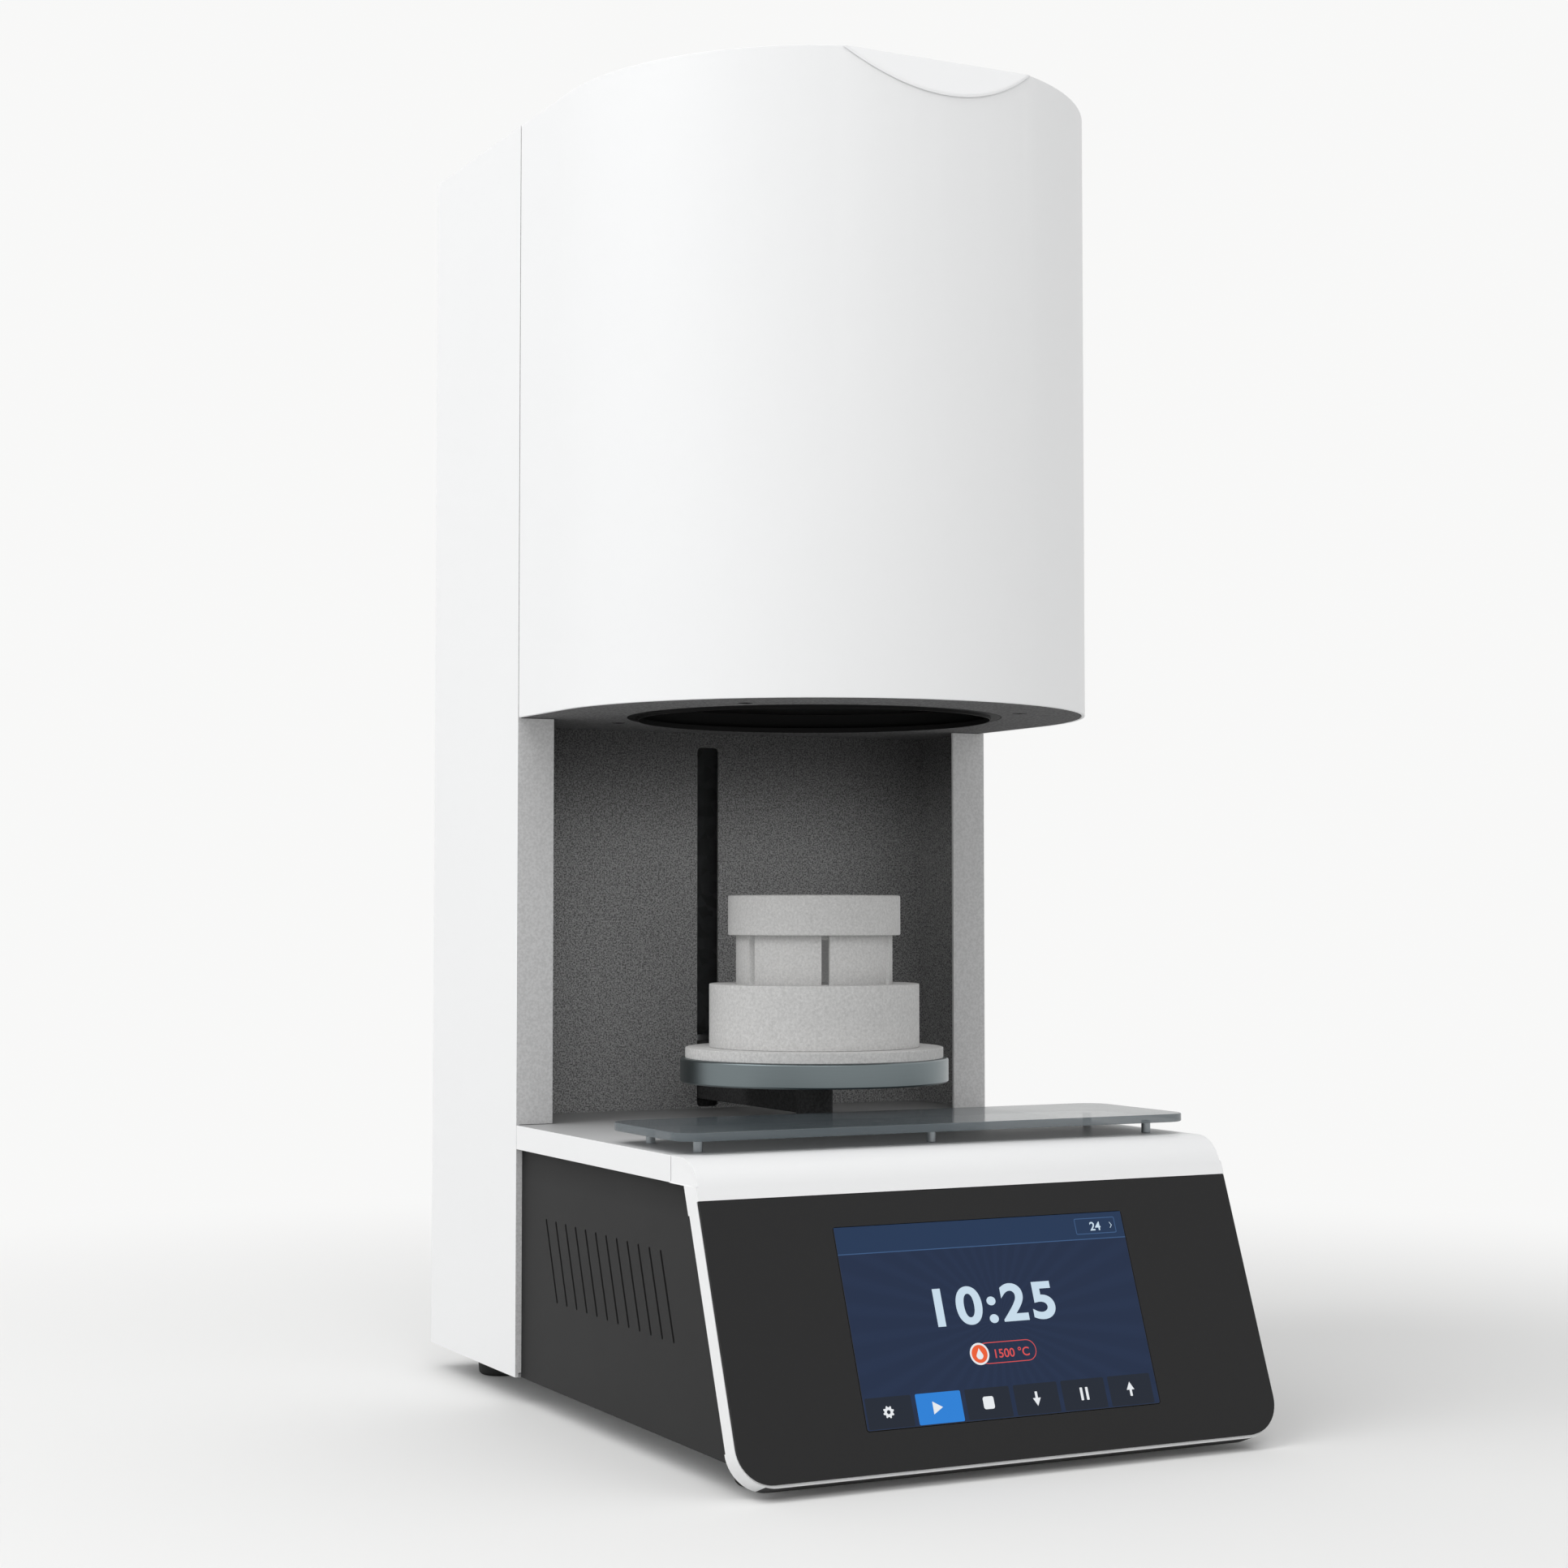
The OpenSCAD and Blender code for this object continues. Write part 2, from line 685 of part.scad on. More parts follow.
// Flat straps join the elements in series; the first and last legs stay free for the supply
module element_straps() {
    color("#c3c7ca") on_axis(strap_z) for (i = [0 : element_count - 2]) {
        a = i * 360 / element_count;
        b = a + 360 / element_count;
        from = leg_xy(a, 1);
        to = leg_xy(b, -1);
        span = norm(to - from);
        turn = atan2(to[1] - from[1], to[0] - from[0]);
        translate([from[0], from[1], 0]) rotate([0, 0, turn]) difference() {
            union() {
                translate([0, -4, 0]) cube([span, 8, 2]);
                for (x = [0, span]) translate([x, 0, 0])
                    cylinder(r = terminal_r + 2.5, h = 5, $fn = 40);
            }
            for (x = [0, span]) translate([x, 0, -eps])
                cylinder(r = terminal_r + 0.05, h = 5 + 2 * eps, $fn = 40);
        }
    }
}

function leg_xy(a, side) = [
    element_circle_r * cos(a) - side * leg_spacing / 2 * sin(a),
    element_circle_r * sin(a) + side * leg_spacing / 2 * cos(a)];

module thermocouple() {
    color("#e6e2d8") probe_place() translate([0, 0, roof_z - probe_reach]) {
        translate([0, 0, probe_r]) cylinder(r = probe_r, h = roof_t + probe_reach, $fn = 32);
        translate([0, 0, probe_r]) sphere(probe_r, $fn = 32);
    }
}

module thermocouple_head() {
    low = roof_top + 0.5;
    color(steel) probe_place() translate([0, 0, low]) difference() {
        union() {
            cylinder(r = probe_head_r, h = 18);
            translate([0, 0, 18]) cylinder(r = 0.72 * probe_head_r, h = 4);
            rotate([0, 90, 0]) translate([-9, 0, 0.72 * probe_head_r])
                cylinder(r = 0.36 * probe_head_r, h = 10, $fn = 32);
        }
        translate([0, 0, -eps]) cylinder(r = probe_r + 0.1, h = probe_r + eps, $fn = 32);
    }
}

// Two rails inside the sides tie the head's floor to the column
module head_rails() {
    y0 = axis_y - 40;
    low = head_z + sheet;
    color(steel) for (side = [0, 1]) mirror([side, 0, 0]) difference() {
        union() {
            translate([half_w - sheet - fit_gap - rail_t, y0, low])
                cube([rail_t, rear_lip_y - fit_gap - y0, rail_h]);
            translate([half_w - sheet - fit_gap - rail_t - 9, y0 + 50, low])
                cube([9 + rail_t, seam_y - fit_gap - y0 - 52, rail_t]);
        }
        // the can bulges between the rails
        on_axis(low - eps) cylinder(r = can_r + fit_gap, h = rail_h + 2 * eps, $fn = 180);
        // the front of each rail follows the round wall of the cover
        difference() {
            translate([0, y0 - eps, low - eps]) cube([body_w, axis_y - y0, rail_h + 2 * eps]);
            on_axis(low - 2 * eps)
                cylinder(r = half_w - sheet - fit_gap, h = rail_h + 4 * eps, $fn = 180);
        }
    }
}

module deck() {
    tongue = half_w - sheet - fit_gap;
    color(white_paint) difference() {
        union() {
            translate([-half_w, deck_front_y, deck_z - deck_band])
                cube([body_w, seam_y - fit_gap - deck_front_y, deck_band]);
            translate([-tongue, seam_y - 2 * fit_gap, deck_z - sheet])
                cube([2 * tongue, liner_back_y - seam_y + 2 * fit_gap, sheet]);
        }
        translate([-half_w + sheet, deck_front_y - eps, deck_z - deck_band - eps])
            cube([body_w - 2 * sheet, seam_y - deck_front_y + 2 * eps, deck_band - sheet + eps]);
    }
}

// Side view of the nose and the slope
module nose_profile() {
    low_y = -panel_len - frame_rim;
    difference() {
        union() {
            translate([nose_y, nose_z]) circle(nose_r, $fn = 120);
            translate([nose_y, nose_z - nose_r])
                square([deck_front_y - fit_gap - nose_y, 2 * nose_r]);
            translate([panel_top_y, panel_top_z]) rotate(-panel_slope)
                translate([0, low_y]) square([2 * nose_r, slope_run - low_y]);
        }
        // open behind the frame's depth, below the deck's band
        intersection() {
            translate([panel_top_y, panel_top_z]) rotate(-panel_slope)
                translate([panel_t + frame_depth, low_y - eps]) square(2 * panel_len);
            translate([panel_top_y - body_w, -body_w])
                square([2 * body_w, body_w + deck_z - deck_band]);
        }
        translate([deck_front_y - fit_gap, -eps]) square(2 * deck_z);
    }
}

// Front view of the frame in its own slope, with round lower corners
module frame_outline(margin) {
    r = frame_corner_r - margin;
    low = -panel_len - frame_rim + margin;
    for (x = [-1, 1]) translate([x * (frame_half - margin - r), low + r]) circle(r);
    translate([-frame_half + margin + r, low]) square([2 * (frame_half - margin - r), r + eps]);
    translate([-frame_half + margin, low + r])
        square([2 * (frame_half - margin), panel_len + 2 * nose_r]);
}

module fascia_frame() {
    color(white_paint) difference() {
        intersection() {
            along_x(2 * frame_half) nose_profile();
            on_slope() translate([0, 0, -200]) linear_extrude(220) frame_outline(0);
        }
        // hollow behind the skin
        intersection() {
            along_x(2 * (frame_half - sheet)) nose_hollow();
            on_slope() translate([0, 0, -200]) linear_extrude(220) frame_outline(sheet);
        }
        // seat of the front panel
        on_slope() translate([-frame_half - eps, -panel_len - eps - frame_rim, -panel_t])
            cube([2 * (frame_half + eps), panel_len + eps + frame_rim, panel_t + eps]);
        // relief along the back of the slanted edges, between the corners
        on_slope() translate([-frame_half - eps, frame_corner_r - panel_len - frame_rim,
                -panel_t - frame_depth - eps])
            cube([2 * (frame_half + eps), panel_len + frame_rim - frame_corner_r - frame_depth
                + frame_relief_end, frame_relief + eps]);
        // window for the display module
        on_slope() translate([0, -screen_drop - screen_h / 2, -panel_t - sheet - eps])
            linear_extrude(sheet + 2 * eps) round_rect(screen_w + 14, screen_h + 14, 3);
    }
}

// Side view of the hollow: behind the skin of the nose and behind the seat of the panel
module nose_hollow() {
    low_y = -panel_len - frame_rim;
    translate([nose_y, nose_z]) circle(nose_r - sheet, $fn = 120);
    translate([nose_y, nose_z - nose_r]) square([nose_flat + nose_r, 2 * nose_r - sheet]);
    translate([panel_top_y, panel_top_z]) rotate(-panel_slope)
        translate([panel_t + sheet, low_y - eps]) square([5 * nose_r, -low_y + 2 * eps]);
}

module panel_outline(margin) {
    r = frame_corner_r - frame_rim;
    half = frame_half - margin;
    for (x = [-1, 1]) translate([x * (half - r), -panel_len + r]) circle(r);
    translate([-half + r, -panel_len]) square([2 * (half - r), r + eps]);
    translate([-half, -panel_len + r]) square([2 * half, panel_len - r - margin]);
}

module front_panel() {
    color(dark_paint) on_slope() difference() {
        translate([0, 0, -panel_t]) linear_extrude(panel_t) panel_outline(fit_gap);
        translate([0, -screen_drop - screen_h / 2, -panel_t - eps])
            linear_extrude(panel_t + 2 * eps) round_rect(screen_w, screen_h, 1.5);
    }
}

module touch_screen() {
    color("#1c2433") on_slope() translate([0, -screen_drop - screen_h / 2, 0]) {
        translate([0, 0, -panel_t]) linear_extrude(panel_t)
            round_rect(screen_w - 2 * fit_gap, screen_h - 2 * fit_gap, 1.3);
        translate([0, 0, -panel_t - module_t]) linear_extrude(module_t)
            round_rect(screen_w + 10, screen_h + 10, 2);
    }
}

// Side panel drawn for the left side, with its slanted louvres
module side_panel() {
    top = deck_z - sheet;
    depth = panel_t + frame_depth - 1.3;
    run = tan(panel_slope);
    front_low = panel_top_y - (panel_top_z - foot_h) * run + depth / cos(panel_slope);
    front_high = panel_top_y + depth / cos(panel_slope);
    translate([-half_w + side_inset + sheet / 2, 0, 0]) along_x(sheet) difference() {
        polygon([
            [seam_y - fit_gap, foot_h], [seam_y - fit_gap, top], [nose_y, top],
            [front_high, panel_top_z], [front_low, foot_h]]);
        for (i = [0 : louvre_count - 1])
            translate([seam_y - louvre_first - i * louvre_pitch, deck_z - louvre_drop])
                rotate(-panel_slope) slot_shape(louvre_w, louvre_len);
    }
}

module side_panel_left() {
    color(dark_paint) side_panel();
}

module side_panel_right() {
    color(dark_paint) mirror([1, 0, 0]) side_panel();
}

module base_tray() {
    side = half_w - side_inset - sheet - fit_gap;
    wide = half_w - sheet - fit_gap;
    depth = (panel_t + frame_depth) / cos(panel_slope);
    front_y = panel_top_y - (panel_top_z - foot_h) * tan(panel_slope) + depth;
    color(steel) {
        // floor, folded up along the sides and the front
        translate([-side, front_y, foot_h]) cube([2 * side, seam_y - front_y, sheet]);
        translate([-wide, seam_y - fit_gap, foot_h])
            cube([2 * wide, rear_lip_y + sheet - seam_y, sheet]);
        for (x = [-side, side - sheet]) translate([x, front_y + 2, foot_h])
            cube([sheet, seam_y - front_y - 4, 14]);
        for (x = [-wide, wide - sheet]) translate([x, seam_y + 4, foot_h])
            cube([sheet, rear_lip_y - seam_y - 8, 14]);
        translate([-side, front_y + 2, foot_h]) cube([2 * side, sheet, 14]);
    }
}

module foot_places() {
    for (x = [-1, 1], y = [seam_y - foot_forward, back_y - foot_rear])
        translate([x * (half_w - foot_inset), y, 0]) children();
}

module feet() {
    color(black_part) foot_places() rotate_extrude($fn = 64) polygon([
        [0, 0], [foot_r - 2.5, 0], [foot_r - 1, 1.5], [foot_r, foot_h - 3],
        [foot_r, foot_h], [0, foot_h]]);
}

shelf_z = deck_z + post_h;
shelf_y = seam_y - shelf_forward + shelf_depth / 2;

module shelf_glass() {
    color("#8fa0a8", 0.6) translate([0, shelf_y, shelf_z])
        linear_extrude(shelf_t) round_rect(shelf_w, shelf_depth, shelf_corner_r);
}

module shelf_posts() {
    color(steel) for (x = [-1, 0, 1], y = [-1, 1])
        translate([x * (shelf_w / 2 - post_inset), shelf_y + y * (shelf_depth / 2 - post_inset),
            deck_z]) cylinder(r = post_r, h = post_h, $fn = 32);
}

// Channel that carries the rods, the screw and the motor
module lift_frame() {
    y0 = lift_y - motor_w / 2;
    depth = lift_back_y - y0;
    color(steel) difference() {
        union() {
            translate([-lift_w / 2, lift_back_y - lift_back_t, foot_h + sheet])
                cube([lift_w, lift_back_t, lift_high_z + lift_plate - foot_h - sheet]);
            for (z = [lift_low_z, lift_high_z]) translate([-lift_w / 2, y0, z])
                cube([lift_w, depth, lift_plate]);
            translate([-lift_w / 2, lift_back_y - 30, foot_h + sheet])
                cube([lift_w, 30, lift_back_t]);
        }
        for (z = [lift_low_z, lift_high_z]) translate([0, lift_y, z - eps]) {
            cylinder(r = bearing_r + 0.02, h = lift_plate + 2 * eps);
            for (x = [-1, 1]) translate([x * rod_spacing / 2, 0, 0])
                cylinder(r = rod_r + 0.02, h = lift_plate + 2 * eps);
        }
    }
}

module guide_rods() {
    color("#d5d8da") for (x = [-1, 1]) translate([x * rod_spacing / 2, lift_y, lift_low_z])
        cylinder(r = rod_r, h = lift_high_z + lift_plate - lift_low_z);
}

module lead_screw() {
    low = motor_top + 4 + coupling_len / 2 + 1;
    color("#c9ccce") translate([0, lift_y, 0]) {
        translate([0, 0, low]) cylinder(r = screw_r, h = lift_high_z + lift_plate + 4 - low);
        // collar that rests on the lower bearing
        translate([0, 0, lift_low_z + lift_plate + 0.1]) cylinder(r = screw_r + 3, h = 5);
    }
}

module screw_bearings() {
    color("#9fa3a6") for (z = [lift_low_z, lift_high_z]) translate([0, lift_y, z])
        ring(bearing_r, screw_r + running_gap, lift_plate);
}

module lift_motor() {
    low = motor_top - motor_len;
    plate = 7;
    color(black_part) translate([0, lift_y, low]) difference() {
        union() {
            linear_extrude(motor_len - 12) round_rect(motor_w - 2, motor_w - 2, 6);
            translate([0, 0, motor_len - 12]) linear_extrude(12) round_rect(motor_w, motor_w, 4);
            translate([-10, -motor_w / 2 - 6, 4]) cube([20, 8, 12]);
        }
        translate([0, 0, plate]) cylinder(r = shaft_r + running_gap, h = motor_len);
        for (x = [-1, 1], y = [-1, 1])
            translate([x * motor_hole, y * motor_hole, motor_len - 6])
                cylinder(r = 2.55, h = 6 + eps, $fn = 24);
    }
}

shaft_r = 3.2;
motor_hole = motor_w * 0.41;
fan_hole = fan_w / 2 - 4.8;
guard_wire = 1.6;

module motor_spacers() {
    color(steel) for (x = [-1, 1], y = [-1, 1])
        translate([x * motor_hole, lift_y + y * motor_hole, 0]) {
            translate([0, 0, motor_top]) cylinder(r = 4.5, h = lift_low_z - motor_top, $fn = 32);
            translate([0, 0, motor_top - 5]) cylinder(r = 2.5, h = 6, $fn = 24);
        }
}

module motor_shaft() {
    low = motor_top - motor_len + 8;
    color(steel) translate([0, lift_y, low])
        cylinder(r = shaft_r, h = motor_top + 4 + coupling_len / 2 - 1 - low, $fn = 48);
}

module motor_coupling() {
    half = coupling_len / 2;
    color("#a6abae") translate([0, lift_y, motor_top + 4]) difference() {
        cylinder(r = 12.5, h = coupling_len);
        translate([0, 0, -eps]) cylinder(r = shaft_r + 0.02, h = half + eps, $fn = 48);
        translate([0, 0, half]) cylinder(r = screw_r + 0.02, h = half + eps);
        for (z = [half - 4, half + 3]) translate([-13, 1.5, z]) cube([26, 12, 1]);
    }
}

module carriage() {
    w = rod_spacing + 2 * sleeve_r + 12;
    color("#8d9499") translate([0, lift_y, carriage_z]) difference() {
        translate([-w / 2, -carriage_depth / 2, 0]) cube([w, carriage_depth, carriage_h]);
        translate([0, 0, -eps]) cylinder(r = nut_r + 0.02, h = carriage_h + 2 * eps);
        for (x = [-1, 1]) translate([x * rod_spacing / 2, 0, -eps])
            cylinder(r = sleeve_r + 0.02, h = carriage_h + 2 * eps);
        // lightening pockets in the rear face
        for (x = [-1, 1]) translate([x * rod_spacing / 4 - 3.5, carriage_depth / 2 - 6, 10])
            cube([7, 6 + eps, carriage_h - 20]);
    }
}

nut_r = screw_r + 5;

module carriage_nut() {
    color("#b08d57") translate([0, lift_y, carriage_z - 5]) difference() {
        union() {
            cylinder(r = nut_r, h = 40);
            cylinder(r = nut_r + 4, h = 5);
        }
        translate([0, 0, -eps]) cylinder(r = screw_r + running_gap, h = 40 + 2 * eps);
    }
}

module linear_bearings() {
    len = (carriage_h - 4) / 2;
    color("#b9bdc0") for (x = [-1, 1], z = [carriage_z, carriage_z + carriage_h - len])
        translate([x * rod_spacing / 2, lift_y, z]) ring(sleeve_r, rod_r + running_gap, len);
}

module lift_arm() {
    root_y = lift_y - carriage_depth / 2;
    flange_t = 6;
    flange_w = rod_spacing / 2 - 2;
    color("#4b5054") {
        translate([-arm_t / 2, axis_y, arm_z]) cube([arm_t, root_y - axis_y, arm_h]);
        on_axis(arm_z) cylinder(r = hub_r, h = arm_h);
        translate([-flange_w / 2, root_y - flange_t, carriage_z + 4])
            cube([flange_w, flange_t, carriage_h - 8]);
    }
}

module platform_plate() {
    color(blue_steel) on_axis(plate_z) rotate_extrude($fn = 180) polygon([
        [0, 0], [plate_r - 0.8, 0], [plate_r, 0.8], [plate_r, plate_t - 0.8],
        [plate_r - 0.8, plate_t], [0, plate_t]]);
}

module base_disc() {
    color(fibre) on_axis(disc_z) cylinder(r = disc_r, h = disc_t, $fn = 180);
}

module plug() {
    color(fibre) on_axis(plug_z) difference() {
        cylinder(r = plug_r, h = plug_h, $fn = 180);
        translate([0, 0, plug_h - crucible_floor])
            cylinder(r = crucible_r + fit_gap, h = crucible_floor + eps, $fn = 180);
    }
}

module crucible() {
    color("#f4f2ec") on_axis(crucible_z - crucible_floor) difference() {
        cylinder(r = crucible_r, h = crucible_floor + crucible_h, $fn = 180);
        translate([0, 0, crucible_floor])
            cylinder(r = crucible_r - crucible_wall, h = crucible_h + eps, $fn = 180);
        for (i = [0 : crucible_slots - 1]) rotate([0, 0, crucible_turn + i * 360 / crucible_slots])
            translate([crucible_r - crucible_wall - 3, -crucible_slot_w / 2, crucible_floor])
                cube([crucible_wall + 6, crucible_slot_w, crucible_h + eps]);
    }
}

module crucible_lid() {
    spigot_r = crucible_r - crucible_wall - 0.6;
    color("#f4f2ec") on_axis(lid_z) rotate_extrude($fn = 180) polygon([
        [0, -spigot_h], [spigot_r - 1, -spigot_h], [spigot_r, -spigot_h + 1], [spigot_r, 0],
        [lid_r - 0.6, 0], [lid_r, 0.6], [lid_r, lid_h - 0.8], [lid_r - 0.8, lid_h], [0, lid_h]]);
}

module at_transformer() {
    translate([left_x, seam_y - core_forward, tray_top]) children();
}

module transformer_core() {
    window = (core_w - 4 * core_limb) / 2;
    color("#5a5d60") at_transformer() difference() {
        translate([-core_w / 2, -core_depth / 2, 0]) cube([core_w, core_depth, core_h]);
        for (x = [-1, 1]) translate([x * (core_limb + window / 2) - window / 2,
                -core_depth / 2 - eps, core_limb])
            cube([window, core_depth + 2 * eps, core_h - 2 * core_limb]);
    }
}

module transformer_coil() {
    window = (core_w - 4 * core_limb) / 2;
    inner = core_limb + fit_gap;
    outer = core_limb + window - fit_gap;
    h = core_h - 2 * core_limb - 2 * fit_gap;
    color("#8c5a33") at_transformer() translate([0, 0, core_limb + fit_gap]) difference() {
        linear_extrude(h) round_rect(2 * outer, core_depth + 2 * (outer - inner), 6);
        translate([-inner, -core_depth / 2 - fit_gap, -eps])
            cube([2 * inner, core_depth + 2 * fit_gap, h + 2 * eps]);
    }
}

module at_sink() {
    translate([sink_x, seam_y - sink_forward, tray_top]) children();
}

module heat_sink() {
    base = 5;
    fin = 2;
    color("#33363a") at_sink() translate([-sink_w / 2, -sink_depth / 2, 0]) {
        translate([0, 0, sink_h - base]) cube([sink_w, sink_depth, base]);
        for (i = [0 : sink_fins - 1])
            translate([i * (sink_w - fin) / (sink_fins - 1), 0, 0])
                cube([fin, sink_depth, sink_h - base / 2]);
    }
}

module power_relay() {
    w = sink_w / 2;
    depth = sink_depth * 0.72;
    h = sink_depth * 0.22;
    color("#d9d9d2") at_sink() translate([0, 0, sink_h]) {
        translate([-w / 2, -depth / 2, 0]) cube([w, depth, h]);
        for (y = [-1, 1]) translate([-w * 0.4, y * depth * 0.34 - depth * 0.08, h - 0.01])
            cube([w * 0.8, depth * 0.16, h * 0.28]);
    }
}

board_z = tray_top + standoff_h;
board_hole_inset = 6;

module at_board(z = board_z) {
    translate([board_x, seam_y - board_forward, z]) children();
}

module board_places() {
    for (x = [-1, 1], y = [-1, 1]) at_board(0)
        translate([x * (board_w / 2 - board_hole_inset), y * (board_depth / 2 - board_hole_inset), 0])
            children();
}

module control_board() {
    plug_count = 5;
    plug_pitch = (board_w - 2 * board_edge) / plug_count;
    color("#2f6b45") difference() {
        at_board() {
            translate([-board_w / 2, -board_depth / 2, 0]) cube([board_w, board_depth, board_t]);
            // row of terminal blocks, processor and capacitors
            for (i = [0 : plug_count - 1])
                translate([-board_w / 2 + board_edge + (i + 0.1) * plug_pitch, board_depth / 2 - 16, board_t])
                    cube([0.8 * plug_pitch, 9, 12]);
            translate([-board_w / 5, -board_depth / 4, board_t])
                cube([board_depth * 0.3, board_depth * 0.3, 3]);
            for (i = [0 : 2]) translate([board_w * (0.2 + 0.09 * i), -board_depth / 7, board_t])
                cylinder(r = board_w * 0.033, h = 16, $fn = 32);
        }
        board_places() translate([0, 0, board_z - eps])
            cylinder(r = 1.7, h = board_t + 2 * eps, $fn = 24);
    }
}

module board_standoffs() {
    color("#c9a24a") board_places() {
        translate([0, 0, tray_top]) cylinder(r = 3.2, h = standoff_h, $fn = 6);
        translate([0, 0, board_z - eps]) cylinder(r = 1.5, h = board_t + eps + 1, $fn = 24);
        translate([0, 0, board_z + board_t]) cylinder(r = 3, h = 2, $fn = 24);
    }
}

module power_supply() {
    slit_count = 9;
    color("#b7babc") translate([left_x, seam_y - supply_forward, tray_top])
        difference() {
            translate([-supply_w / 2, -supply_depth / 2, 0]) cube([supply_w, supply_depth, supply_h]);
            for (i = [0 : slit_count - 1])
                translate([(i - (slit_count - 1) / 2) * supply_w / 10 - 2.5, -supply_depth * 0.3,
                    supply_h - 2]) cube([5, supply_depth * 0.6, 2 + eps]);
            // step for the terminals
            translate([-supply_w * 0.44, supply_depth / 2 - 8, supply_h * 0.55])
                cube([supply_w * 0.88, 8 + eps, supply_h]);
        }
}

module fan_frame() {
    half = fan_w / 2;
    color(black_part) translate([0, rear_sheet_y - fan_t, fan_z]) rotate([-90, 0, 0])
        difference() {
            union() {
                difference() {
                    linear_extrude(fan_t) round_rect(fan_w, fan_w, 5);
                    translate([0, 0, -eps]) cylinder(r = half - 3, h = fan_t + 2 * eps);
                }
                // motor seat on four struts
                cylinder(r = half * 0.42, h = 4);
                for (a = [45 : 90 : 315]) rotate([0, 0, a]) translate([0, -2.5, 0])
                    cube([half - 2, 5, 4]);
            }
            for (x = [-1, 1], y = [-1, 1]) translate([x * fan_hole, y * fan_hole, -eps])
                cylinder(r = 2.3, h = fan_t + 2 * eps, $fn = 24);
            translate([0, 0, -eps]) cylinder(r = 2 + running_gap, h = 6, $fn = 32);
        }
}

module fan_rotor() {
    half = fan_w / 2;
    color("#2a2b2e") translate([0, rear_sheet_y - fan_t, fan_z]) rotate([-90, 0, 0]) {
        translate([0, 0, 1]) cylinder(r = 2, h = 6, $fn = 32);
        translate([0, 0, 5]) cylinder(r = half * 0.4, h = fan_t - 7);
        for (i = [0 : fan_blades - 1]) rotate([0, 0, i * 360 / fan_blades])
            translate([half * 0.36, 0, fan_t / 2 + 1]) rotate([38, 0, 0])
                translate([0, -11, -0.8]) cube([half - 5 - half * 0.36, 22, 1.6]);
    }
}

module fan_guard() {
    color(steel) translate([0, back_y, fan_z]) rotate([-90, 0, 0]) {
        for (r = [10 : 9 : fan_w / 2 - 4])
            translate([0, 0, guard_wire]) ring(r + 0.7, r - 0.7, guard_proud - guard_wire);
        for (a = [45, 135]) rotate([0, 0, a])
            translate([-fan_hole * sqrt(2) + 4, -1, 0]) cube([2 * fan_hole * sqrt(2) - 8, 2, guard_wire]);
        for (x = [-1, 1], y = [-1, 1]) translate([x * fan_hole, y * fan_hole, 0])
            ring(4.4, 2.3, guard_wire);
    }
}

module power_inlet() {
    color(black_part) translate([inlet_x, back_y, inlet_z]) rotate([-90, 0, 0]) difference() {
        union() {
            linear_extrude(guard_proud - 0.5) round_rect(inlet_w + 20, inlet_h + 7, 4);
            translate([0, 0, -26]) linear_extrude(26 + eps) round_rect(inlet_w, inlet_h, 2);
        }
        translate([0, 0, -16]) linear_extrude(30) round_rect(inlet_w - 3.5, inlet_h - 4, 3);
        for (x = [-1, 1]) translate([x * (inlet_w / 2 + 6), 0, -2]) cylinder(r = 1.7, h = 20, $fn = 24);
    }
    color(steel) translate([inlet_x, back_y, inlet_z]) rotate([-90, 0, 0])
        for (p = [[-7, 2], [0, -2], [7, 2]])
            translate([p[0] - 1, p[1] - 2, -17]) cube([2, 4, 14]);
}

module switch_housing() {
    color(black_part) translate([inlet_x, back_y, inlet_z + switch_rise]) rotate([-90, 0, 0])
        difference() {
            union() {
                linear_extrude(1.6) round_rect(switch_w + 5, switch_h + 5, 2);
                translate([0, 0, -22]) linear_extrude(22 + eps) round_rect(switch_w, switch_h, 1);
            }
            translate([0, 0, -12]) linear_extrude(20)
                square([switch_w - 5, switch_h - 5], center = true);
            // bores for the rocker's pin
            translate([-switch_w / 2 + 0.9, 0, -4]) rotate([0, 90, 0])
                cylinder(r = 1.5 + running_gap, h = switch_w - 1.8, $fn = 32);
        }
}

// Rocker, in its off place, on a pin along X through the housing
module switch_rocker() {
    color("#2b2c2e") translate([inlet_x, back_y - 4, inlet_z + switch_rise]) {
        rotate([rocker_swing / 2, 0, 0]) along_x(switch_w - 6) polygon([
            [-3, -3], [3.5, -7], [4.4, -6.6], [3.2, 0], [4.4, 6.6], [3.5, 7], [-3, 3]]);
        rotate([0, 90, 0]) translate([0, 0, 1.1 - switch_w / 2])
            cylinder(r = 1.5, h = switch_w - 2.2, $fn = 32);
    }
}

column_casing();
bay_liner();
rear_panel();
rear_screws();
head_cover();
top_cap();
head_floor();
floor_screws();
mouth_collar();
chamber_can();
chamber_wall();
mouth_insulation();
chamber_roof();
heating_elements();
element_clamps();
element_straps();
thermocouple();
thermocouple_head();
head_rails();
deck();
fascia_frame();
front_panel();
touch_screen();
side_panel_left();
side_panel_right();
base_tray();
feet();
shelf_glass();
shelf_posts();
lift_frame();
guide_rods();
lead_screw();
screw_bearings();
lift_motor();
motor_spacers();
motor_shaft();
motor_coupling();
carriage();
carriage_nut();
linear_bearings();
lift_arm();
platform_plate();
base_disc();
plug();
crucible();
crucible_lid();
transformer_core();
transformer_coil();
heat_sink();
power_relay();
control_board();
board_standoffs();
power_supply();
fan_frame();
fan_rotor();
fan_guard();
power_inlet();
switch_housing();
switch_rocker();
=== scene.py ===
import math

import bmesh
import bpy
from mathutils import Matrix, Vector


